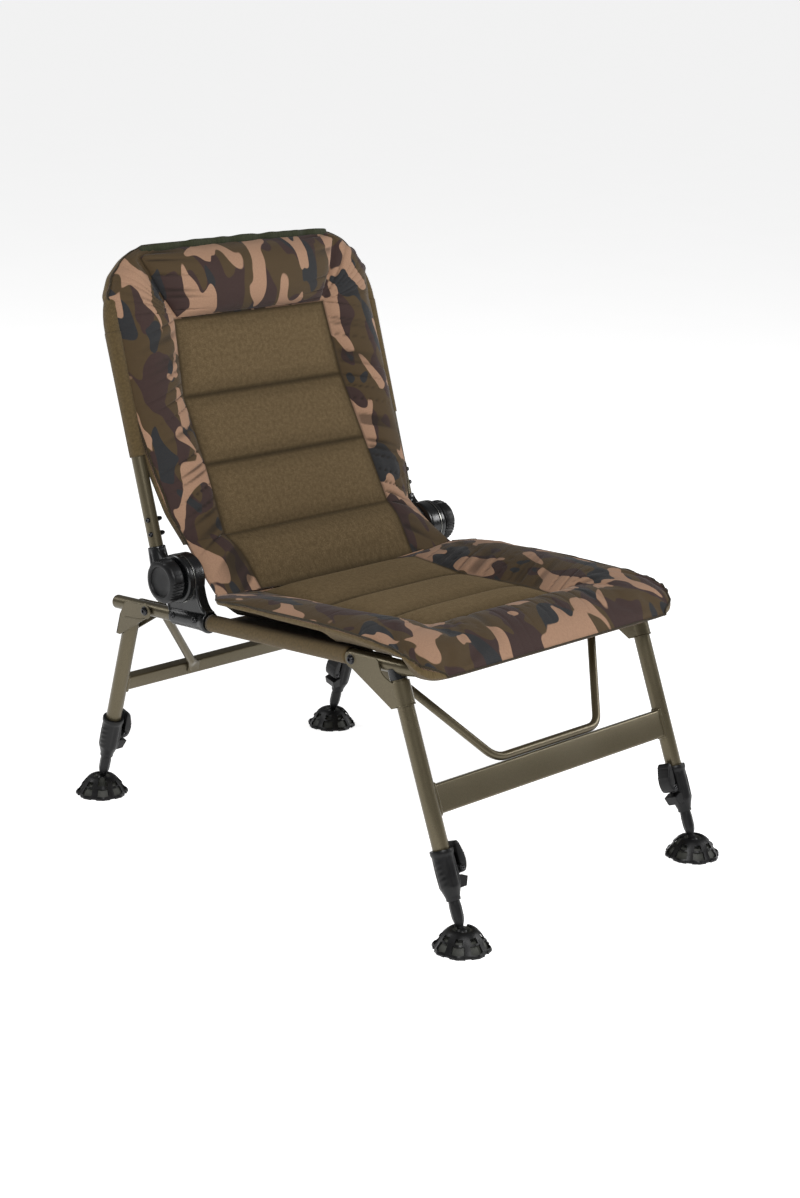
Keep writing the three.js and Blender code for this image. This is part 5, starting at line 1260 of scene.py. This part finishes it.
for end in leg_turn:
    tube = spun([(11 * mm, 67.4 * mm), (12.3 * mm, 67.4 * mm), (12.5 * mm, 67.8 * mm), (12.5 * mm, 0.2),
                 (12.5 * mm, leg_top[end] - 0.3 * mm), (12.2 * mm, leg_top[end]), (11 * mm, leg_top[end]),
                 (11 * mm, 67.4 * mm)], (rail_x, 0, 0), (0, 0, 1), 56)
    for side in side_sign:
        hard_piece(f"{end}_leg_{side}", [both_sides(in_leg(end, tube), side)], paint.material, end + "_legs",
                   f"{end}_leg_tube_{side}")
        hard_piece(f"{end}_saddle_plug_{side}", [both_sides(in_leg(end, saddle_skin(end)), side)],
                   casting_finish.material, end + "_legs", f"{end}_saddle_{side}", crease=60)

# %% Brackets
def cheek_round(end, radius=13, rise=9, steps=14):
    """The round end of a cheek: an arc about the pivot from under the rail up to the top edge."""
    sweep = math.pi / 2 + math.asin(rise / radius)
    angle = -math.pi / 2 - sweep * np.linspace(0, 1, steps + 1)
    return by_pivot(end, radius * np.cos(angle), radius * np.sin(angle))


def cheeks(outline):
    """The two cheeks of the left bracket."""
    return [slab(outline, rail_x + 12.9 * mm, rail_x + 14.9 * mm, 0.35 * mm),
            slab(outline, rail_x - 14.9 * mm, rail_x - 12.9 * mm, 0.35 * mm)]


def boss(end, x_low, x_high, radius):
    """The pressed round land under a bolt head, with a rounded step."""
    place = (0, *leg_pivot[end])
    return spun([(0, x_low), (radius, x_low), (radius, x_high - 0.5 * mm), (radius - 0.5 * mm, x_high),
                 (0, x_high)], place, (1, 0, 0), 40)


front_reach = -leg_pivot["front"][0] / leg_rail["front"][0] / mm
cheek_length = front_reach - 12.5 - 7
front_outline = np.concatenate([
    cheek_round("front"),
    curve_of(by_pivot("front", cheek_length - 7, 9), by_pivot("front", cheek_length, 9),
             by_pivot("front", cheek_length, 2), 6),
    curve_of(by_pivot("front", cheek_length + 4, -8), by_pivot("front", cheek_length + 8, -15.5),
             (0.0, sleeve_low["front"] + 36 * mm), 5)[:-1],
    [(0.0, sleeve_low["front"] + 36 * mm), (0.0, sleeve_low["front"]), (14.6 * mm, sleeve_low["front"])]])
low, high = sleeve_low["front"], sleeve_low["front"] + 36 * mm
front_sleeve = spun([(12.9 * mm, low), (15.6 * mm, low), (15.7 * mm, low + 0.8 * mm), (15.3 * mm, low + 1.6 * mm),
                     (14.9 * mm, low + 2.2 * mm), (14.9 * mm, high - 0.4 * mm), (14.6 * mm, high), (12.9 * mm, high),
                     (12.9 * mm, low)], (rail_x, 0, 0), (0, 0, 1), 56)

rear_reach = -leg_pivot["rear"][0] / leg_rail["rear"][0] / mm
wrap_top = by_pivot("rear", rear_reach + 6.25, -11.4)[1] - 7 * mm
low = sleeve_low["rear"]
rear_outline = np.concatenate([
    cheek_round("rear"),
    curve_of(by_pivot("rear", rear_reach - 9, 9), by_pivot("rear", rear_reach + 4, 9.6),
             by_pivot("rear", rear_reach + 7, 6), 6),
    [(14.9 * mm, wrap_top), (14.9 * mm, low), (6.3 * mm, low + 2 * mm)]])
rear_wrap = slab([(12.9 * mm, low), (14.9 * mm, low), (14.9 * mm, wrap_top), (12.9 * mm, wrap_top)],
                 rail_x - 14.9 * mm, rail_x + 14.9 * mm, 0.4 * mm)
crease_line = np.array([by_pivot("rear", rear_reach + 8, -17), by_pivot("rear", 12, -15.4), by_pivot("rear", 3, -12.6)])
crease_ridge = swept(at(rail_x + 14.9 * mm, rounded(crease_line, 8 * mm, 5)), ring(0.9 * mm, 12), (1, 0, 0))
front_skins = [*cheeks(front_outline), front_sleeve, boss("front", rail_x + 14.5 * mm, rail_x + 15.5 * mm, 9.5 * mm)]
rear_skins = [*cheeks(rear_outline), rear_wrap, boss("rear", rail_x + 14.5 * mm, rail_x + 15.5 * mm, 12.2 * mm),
              crease_ridge]
for side in side_sign:
    for end, parts in (("front", front_skins), ("rear", rear_skins)):
        hard_piece(f"{end}_folded_bracket_{side}", [both_sides(in_leg(end, part), side) for part in parts],
                   paint.material, end + "_legs", f"{end}_bracket_{side}", crease=30)

# %% Crossbars with their welds
def bar_section(depth, height, corner, steps=6):
    """A rectangle with quarter rounds at its corners, in (y, z)."""
    turn = np.linspace(0, math.pi / 2, steps + 1)
    corners = []
    for k, (sy, sz) in enumerate([(1, 1), (-1, 1), (-1, -1), (1, -1)]):
        angle = turn + k * math.pi / 2
        corners.append(np.stack([sy * (depth / 2 - corner) + corner * np.cos(angle),
                                 sz * (height / 2 - corner) + corner * np.sin(angle)], axis=1))
    return np.concatenate(corners)


def weld(section, middle_z, side, seed):
    """A bead round the bar's end on the leg: a thin tube along the section, on the leg's surface,
    whose radius swells and shrinks like laid drops."""
    fine = np.concatenate([np.linspace(a, b, 10, endpoint=False)
                           for a, b in zip(section, np.roll(section, -1, axis=0))])
    away = np.sqrt(np.maximum((12.5 * mm) ** 2 - fine[:, 0] ** 2, 0))
    path = np.stack([side * (rail_x - away - 0.2 * mm), fine[:, 0], fine[:, 1] + middle_z], axis=1)
    run = np.concatenate([[0], np.cumsum(np.linalg.norm(np.diff(path, axis=0), axis=1))])
    size = (2.5 + 0.9 * np.abs(np.sin(run / (2.1 * mm) + seed)) + 0.3 * np.sin(run / (7 * mm) + 2 * seed)) * mm
    outward = np.stack([0 * run, fine[:, 0], fine[:, 1] * 0.6], axis=1)
    outward /= np.linalg.norm(outward, axis=1, keepdims=True)
    angle = np.linspace(0, 2 * math.pi, 12, endpoint=False)
    bead = path[:, None] + size[:, None, None] * (np.cos(angle)[None, :, None] * (side, 0, 0)
                                                   + np.sin(angle)[None, :, None] * outward[:, None])
    return skin(np.concatenate([bead, bead[:1]]), around=True)


bars = {"front": (214 * mm, 43 * mm, 15 * mm), "rear": (201 * mm, 25 * mm, 17 * mm)}
for end, (top, height, depth) in bars.items():
    section = bar_section(depth, height, 3.2 * mm)
    x = np.array([-rail_x + 8 * mm, -rail_x + 30 * mm, 0, rail_x - 30 * mm, rail_x - 8 * mm])
    bar = skin(np.stack([np.broadcast_to(x[:, None], (5, len(section))),
                         np.broadcast_to(section[:, 0], (5, len(section))),
                         np.broadcast_to(section[:, 1] + top - height / 2, (5, len(section)))], axis=-1),
               around=True, ends=True)
    beads = [weld(section, top - height / 2, way, 1.3 + way) for way in (1, -1)]
    hard_piece(end + "_bar", [in_leg(end, part) for part in (bar, *beads)], paint.material, end + "_legs",
               end + "_crossbar")

# %% Brace and struts
def flattened(path, radius, first, last, sides=28):
    """A round tube pressed flat at its ends: over the last 26 mm the section is three times wider
    than thick. It is wide along first at its start and along last at its end."""
    path = np.asarray(path, float)
    run = np.concatenate([[0], np.cumsum(np.linalg.norm(np.diff(path, axis=0), axis=1))])
    fine = np.linspace(0, run[-1], 120)
    path = np.stack([np.interp(fine, run, path[:, k]) for k in range(3)], axis=1)
    ahead = np.gradient(path, axis=0)
    share = (fine / fine[-1])[:, None]
    side = (1 - share) * first / np.linalg.norm(first) + share * last / np.linalg.norm(last)
    lift = np.cross(side, ahead)
    lift /= np.linalg.norm(lift, axis=1, keepdims=True)
    side = np.cross(ahead, lift)
    side /= np.linalg.norm(side, axis=1, keepdims=True)
    press = np.interp(np.minimum(fine, fine[-1] - fine), [8 * mm, 26 * mm], [1, 0])
    press = press * press * (3 - 2 * press)
    angle = np.linspace(0, 2 * math.pi, sides, endpoint=False)
    wide, thin = radius * (1 + 0.36 * press)[:, None, None], radius * (1 - 0.62 * press)[:, None, None]
    across = wide * np.cos(angle)[None, :, None] * side[:, None]
    grid = path[:, None] + across + thin * np.sin(angle)[None, :, None] * lift[:, None]
    return skin(grid, around=True, ends=True)


def eye_disc(end, side=1):
    """The flat eye round the pivot bolt."""
    low, high = 240.8 * mm, 244.7 * mm
    return spun([(0, low), (9.4 * mm, low), (10 * mm, low + 0.6 * mm), (10 * mm, high - 0.6 * mm), (9.4 * mm, high),
                 (0, high)], (0, *leg_pivot[end]), (side, 0, 0), 40)


end_x = 242.7 * mm
low_corner = np.array([112 * mm, 0, 220.9 * mm])
top_corner = np.array([end_x, *leg_pivot["front"]])
brace_path = rounded([top_corner * (-1, 1, 1), low_corner * (-1, 1, 1), low_corner, top_corner], 34 * mm, 14)
brace_side = np.cross((1, 0, 0), low_corner - top_corner)
brace_skins = [flattened(brace_path, 6.5 * mm, brace_side, brace_side), eye_disc("front"),
               other_side(eye_disc("front"))]
hard_piece("front_bent_brace", [in_leg("front", part) for part in brace_skins], paint.material, "front_legs",
           "front_brace")
strut_top = np.array([end_x, *leg_pivot["rear"]])
strut_foot = np.array([115 * mm, -13.6 * mm, 193 * mm])
strut_top_side = np.cross((1, 0, 0), strut_foot - strut_top)
strut_foot_side = np.cross((0, -1, 0), strut_foot - strut_top)
lug = slab([(-10.9 * mm, 184.6 * mm), (-8.6 * mm, 184.6 * mm), (-8.6 * mm, 201.4 * mm), (-10.9 * mm, 201.4 * mm)],
           103 * mm, 127 * mm, 0.6 * mm)
for side in side_sign:
    parts = [flattened([strut_top, strut_foot], 7 * mm, strut_top_side, strut_foot_side),
             eye_disc("rear"), lug]
    hard_piece("rear_strut_tube_" + side, [both_sides(in_leg("rear", part), side) for part in parts], paint.material,
               "rear_legs", "rear_strut_" + side)
print("brace of", len(brace_path), "stations")

# %% [markdown]
# ## Leg locks and feet
#
# A moulded collar slides on the leg's end and holds a cam lever. Below it a short inner leg ends
# in a ball, and the ball sits in a round foot with scalloped lobes, windows and a tread.

# %% Collar and lever
def across_y(outline, half_width, bevel):
    """A plate whose outline is drawn in (x, z) and which is half_width thick each way along y."""
    points, faces, caps = slab(np.asarray(outline, float) * mm, -half_width * mm, half_width * mm, bevel * mm)
    return points[:, [1, 0, 2]] + (rail_x, 0, 0), faces[:, ::-1], [cap[::-1] for cap in caps]


def collar_relief(angle, height, radius):
    """Eight soft flutes up the collar, and a long raised pad with slanted ribs on its outer side."""
    up = (height - 68 * mm) / (46 * mm)
    inside = ((up > 0) & (up < 1)).astype(float)
    flutes = -1.5 * mm * (0.5 - 0.5 * np.cos(8 * angle)) ** 2 * np.sin(math.pi * up.clip(0, 1)) ** 0.5
    outer = np.exp(-((np.angle(np.exp(1j * (angle - 170 * degree))) / 0.42) ** 4))
    ribs = 0.5 + 0.5 * np.sin(height / (1.3 * mm) + 3 * angle)
    pad = outer * np.sin(math.pi * up.clip(0, 1)) ** 0.4 * (0.6 + 1.3 * ribs) * mm
    return inside * np.where(radius > 12 * mm, flutes * (1 - outer) + pad, 0)


collar_profile = [(8.3, 49), (10.2, 49), (10.6, 49.6), (10.7, 54), (11.6, 57), (13.2, 62), (15.2, 67.5), (15.8, 69)]
collar_profile += [(16.0 + 0.5 * math.sin(k / 20 * math.pi), 70 + 43 * k / 20) for k in range(21)]
collar_profile += [(16.4, 115), (17.3, 117), (17.4, 118.5), (17.4, 121.8), (16.9, 123), (13.0, 123), (12.7, 121.5),
                   (12.7, 68), (8.3, 67), (8.3, 49)]
ear_outline = [(-8.3, 96), (-21.5, 95.6), (-25.6, 93.2), (-27.1, 90), (-25.6, 86.4),
               (-21.5, 84), (-15.5, 84), (-8.3, 64)]
cover_outline = [(-8.3, 82), (-16.6, 82), (-27.6, 77), (-24.6, 70), (-21.5, 64), (-8.3, 64)]


def lever_skin():
    """A channel with its open side to the leg. Each row is a section: down one cheek, across the
    back and up the other cheek, then back inside, at the belly's distance for its height."""
    z = np.concatenate([np.linspace(84.4, 96, 10), np.linspace(98, 120, 12), np.linspace(121.5, 130.2, 8)])
    belly = np.interp(z, [84.4, 86, 90, 96, 102, 110, 119, 125, 128.5, 130.2],
                      [-24.6, -27.4, -30, -31.8, -32.3, -31.2, -28.6, -26.6, -25.4, -23.4])
    belly += 0.45 * np.sin(z * 1.7) * ((z > 108) & (z < 127))
    mouth = np.where(z < 96.2, -21.5 + np.sqrt(np.maximum(36 - (z - 90) ** 2, 0)) * 0.9,
                     np.interp(z, [96.2, 99, 128, 130.2], [-20.4, -18.7, -18.9, -20.6]))
    floor = np.interp(z, [84.4, 96, 98, 120, 121.5, 130.2], [3.2, 2.4, 2.4, 2.4, 7.6, 2.6])
    inner = np.minimum(belly + floor, mouth - 0.05)
    half = np.interp(z, [84.4, 86, 126, 130.2], [11.0, 12.0, 12.0, 10.4])
    wall = np.where(z > 120.9, half - 0.3, 2.4)
    corner = 2.2
    turn = np.linspace(0, math.pi / 2, 5)
    columns = [(mouth, half - 0.4), (mouth - 0.6, half)]
    columns += [(belly + corner * (1 - np.sin(t)), half - corner * (1 - np.cos(t))) for t in turn]
    columns += [(belly - 0.35, 0.45 * half)]
    columns += [(x, -y) for x, y in columns[::-1]]
    columns += [(mouth, -(half - wall)), (inner, -(half - wall)), (inner, half - wall), (mouth, half - wall)]
    grid = np.stack([np.stack([x + 0 * z, y + 0 * z, z], axis=-1) for x, y in columns], axis=1) * mm
    return skin(grid + (rail_x, 0, 0), around=True, ends=True)


pin = spun([(0, -13.9 * mm), (1.7 * mm, -13.9 * mm), (3.0 * mm, -13.3 * mm), (3.6 * mm, -12.0 * mm), (2.4 * mm, -11.9 * mm),
            (2.4 * mm, 11.9 * mm), (3.6 * mm, 12.0 * mm), (3.0 * mm, 13.3 * mm), (1.7 * mm, 13.9 * mm), (0, 13.9 * mm)],
           (rail_x - 21.5 * mm, 0, 90 * mm), (0, 1, 0), 24)
lever = lever_skin()
collar_parts = [spun(np.array(collar_profile) * mm, (rail_x, 0, 0), (0, 0, 1), 144, collar_relief),
                across_y(ear_outline, 9.2, 0.8), across_y(cover_outline, 12, 1.2)]
stem_profile = [(9.5 * math.cos(t), 9.5 * math.sin(t)) for t in np.linspace(-math.pi / 2, 1.02, 18)]
stem_profile += [(4.9, 9.4), (5.0, 12.0), (5.6, 13.2), (7.4, 18), (8.2, 22), (8.7, 26), (8.9, 40), (8.3, 47.2),
                 (8.0, 49), (6.1, 49), (6.1, 71), (0, 71)]
stem_profile[0] = (0, -9.5)
facets = lambda angle, height, radius: np.where(
    (height > 17 * mm) & (height < 47 * mm) & (radius > 7 * mm),
    radius * (math.cos(22.5 * degree) / np.cos((angle % (45 * degree)) - 22.5 * degree) - 0.98), 0)
stem = spun(np.array(stem_profile) * mm, (rail_x, 0, 0), (0, 0, 1), 64, facets)
inner_tube = spun(np.array([(6.5, 49.4), (8, 49.4), (8, 238), (10.6, 238), (10.6, 250), (6.5, 250), (6.5, 49.4)]) * mm,
                  (rail_x, 0, 0), (0, 0, 1), 40)
for end in leg_turn:
    for side in side_sign:
        legend = f"{end}_{side}"
        hard_piece("leg_lock_" + legend, [both_sides(in_leg(end, part), side) for part in collar_parts],
                   plastic.material, end + "_legs", "clamp_housing_" + legend, crease=40)
        hard_piece("cam_lever_" + legend, [both_sides(in_leg(end, part), side) for part in (lever, pin)],
                   [plastic.material, bolt_finish.material], "lever_" + legend, "clamp_lever_" + legend,
                   crease=45, finish_of=np.repeat([0, 1], [len(lever[1]), len(pin[1])]))
        hard_piece("sliding_leg_" + legend, [both_sides(in_leg(end, inner_tube), side)], bright_finish.material,
                   "leg_end_" + legend, "inner_leg_" + legend)
        hard_piece("ball_end_" + legend, [both_sides(in_leg(end, stem), side)], plastic.material,
                   "leg_end_" + legend, "ball_stem_" + legend, crease=28)
print("leg locks:", 4)

# %% Mud feet
foot_lobes = 8
foot_direction = {"front": 145 * degree, "rear": -55 * degree}


def lobed(angle, radius):
    """Distance from the foot's axis with the lobes: the radius less a wave that grows outwards."""
    outward = ((radius - 20 * mm) / (23.5 * mm)).clip(0, 1)
    return radius - 3.9 * mm * outward * (0.5 - 0.5 * np.cos(foot_lobes * angle)) ** 0.8


def foot_shell():
    """The dome as an open sheet with its windows left out: rows go down the dome's profile, columns
    go round, and faces inside a window's angle and height are dropped."""
    profile = np.array([(13.4, 27.4), (13.6, 29.6), (14.4, 30.7), (15.8, 31), (18.2, 30.6), (20.8, 29.4), (23.4, 27.6),
                        (26.0, 25.2), (27.6, 23.6), (29.8, 21.2), (31.8, 18.8), (33.6, 16.4), (35.6, 13.6), (37.4, 11.0),
                        (39.4, 8.4), (41.2, 6.2), (42.6, 4.4), (43.2, 3.0), (43.3, 1.6), (43.0, 0.4)]) * mm
    columns = 192
    angle = np.linspace(0, 2 * math.pi, columns, endpoint=False)
    radius = lobed(angle[None, :], profile[:, :1])
    grid = np.stack([radius * np.cos(angle), radius * np.sin(angle), np.broadcast_to(profile[:, 1:], radius.shape)], -1)
    points, faces, _ = skin(grid, around=True)
    rows = np.repeat(np.arange(len(profile) - 1), columns)
    mid = np.tile(angle + math.pi / columns, len(profile) - 1)
    from_lobe = np.abs(np.angle(np.exp(1j * (mid * foot_lobes)))) / foot_lobes
    slot_way = np.abs(np.angle(np.exp(1j * mid)))
    upper = (rows >= 7) & (rows < 10) & (from_lobe < 11.5 * degree) & (slot_way > 24 * degree)
    lower = (rows >= 11) & (rows < 15) & (from_lobe < 15.5 * degree)
    slotted = (slot_way < 0.30) & (rows < 9)
    return points, faces[~(upper | lower | slotted)], []


def foot_inside():
    """Inside the dome: the cup for the ball, a ring and spokes behind the windows."""
    cup = [(0, 7.6), (10.5, 7.6), (13.0, 12), (13.9, 20), (13.9, 28.6), (11.2, 28.9), (9.6, 25.6)]
    cup += [(10.1 * math.cos(t), 22 + 10.1 * math.sin(t))
            for t in np.linspace(0.34, -math.pi / 2 + 0.02, 10)] + [(0, 11.9)]
    parts = [spun(np.array(cup) * mm, (0, 0, 0), (0, 0, 1), 48)]
    parts.append(spun(np.array([(36.2, 1.2), (37.6, 1.2), (35.0, 6.2), (30.4, 12.6), (25.6, 19.4), (24.2, 19.0), (33.6, 5.4),
                                (36.2, 1.2)]) * mm, (0, 0, 0), (0, 0, 1), 96))
    for k in range(foot_lobes):
        angle = 2 * math.pi * (k + 0.5) / foot_lobes
        outline = np.array([(10, 7.6), (36.0, 3.0), (34.0, 7.6), (28.0, 17.0), (20.5, 24.5), (12.5, 26.0)]) * mm
        points, faces, caps = slab(outline, -1.1 * mm, 1.1 * mm, 0.3 * mm)
        across_rib, out, up = points[:, 0], points[:, 1], points[:, 2]
        points = np.stack([out * math.cos(angle) - across_rib * math.sin(angle),
                           out * math.sin(angle) + across_rib * math.cos(angle), up], axis=1)
        parts.append((points, faces, caps))
    return parts


def foot_treads():
    """Small blocks under the rim, two to a lobe, that press into the ground."""
    parts = []
    for k in range(foot_lobes * 2):
        angle = math.pi * (k + 0.5) / foot_lobes
        out = float(lobed(np.array(angle), np.array(41.0 * mm)))
        x, y = np.array([(-3.4, 1), (3.4, 1), (3.4, -1), (-3.4, -1)]).T * mm
        block = np.stack([np.stack([(out + 2.4 * y) * math.cos(angle) - x * math.sin(angle),
                                    (out + 2.4 * y) * math.sin(angle) + x * math.cos(angle), 0 * x + z], axis=1)
                          for z in (0.0, 3.4 * mm)])
        parts.append(skin(block, around=True, ends=True))
    return parts


shell_ribs = mottled("grey inside of the foot", (120,), colour(36, 37, 34), colour(66, 67, 60), Roughness=0.6)
for end in leg_turn:
    for side in side_sign:
        legend = f"{end}_{side}"
        turn = foot_direction[end]
        spin = np.array([[math.cos(turn), math.sin(turn), 0], [-math.sin(turn), math.cos(turn), 0], [0, 0, 1]])
        placed = lambda part: (part[0] @ spin + (rail_x, foot_y[end], 0), part[1], part[2])
        shell = put("mud_foot_" + legend + "_dome", [both_sides(placed(foot_shell()), side)], plastic.material)
        if normals_of(shell)[:, 2].sum() < 0:
            shell.data.flip_normals()
        wall = shell.modifiers.new("wall", "SOLIDIFY")
        wall.thickness, wall.offset = 2.0 * mm, -1
        walled = finished_mesh(shell)
        bpy.data.objects.remove(shell)
        inside = [both_sides(placed(part), side) for part in foot_inside()]
        tread = [both_sides(placed(part), side) for part in foot_treads()]
        insides = put("foot_inside_" + legend, inside, [shell_ribs.material], "foot_" + legend)
        treads = put("foot_tread_" + legend, tread, plastic.material, "foot_" + legend)
        walled.polygons.foreach_set("use_smooth", np.ones(len(walled.polygons), bool))
        walled.set_sharp_from_angle(angle=math.radians(40))
        foot = bpy.data.objects.new("round_foot_" + legend, walled)
        bpy.context.scene.collection.objects.link(foot)
        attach(foot, "foot_" + legend)
        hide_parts("mud_foot_" + legend)
print("feet:", 4)

# %% [markdown]
# ## Finishes for the other pieces
#
# The solids whose shape is right stay, and take their finish by name.

# %% Finish by name
for side in side_sign:
    for place in nodes["hinge_stud_" + side].material_slots:
        place.material = bolt_finish.material
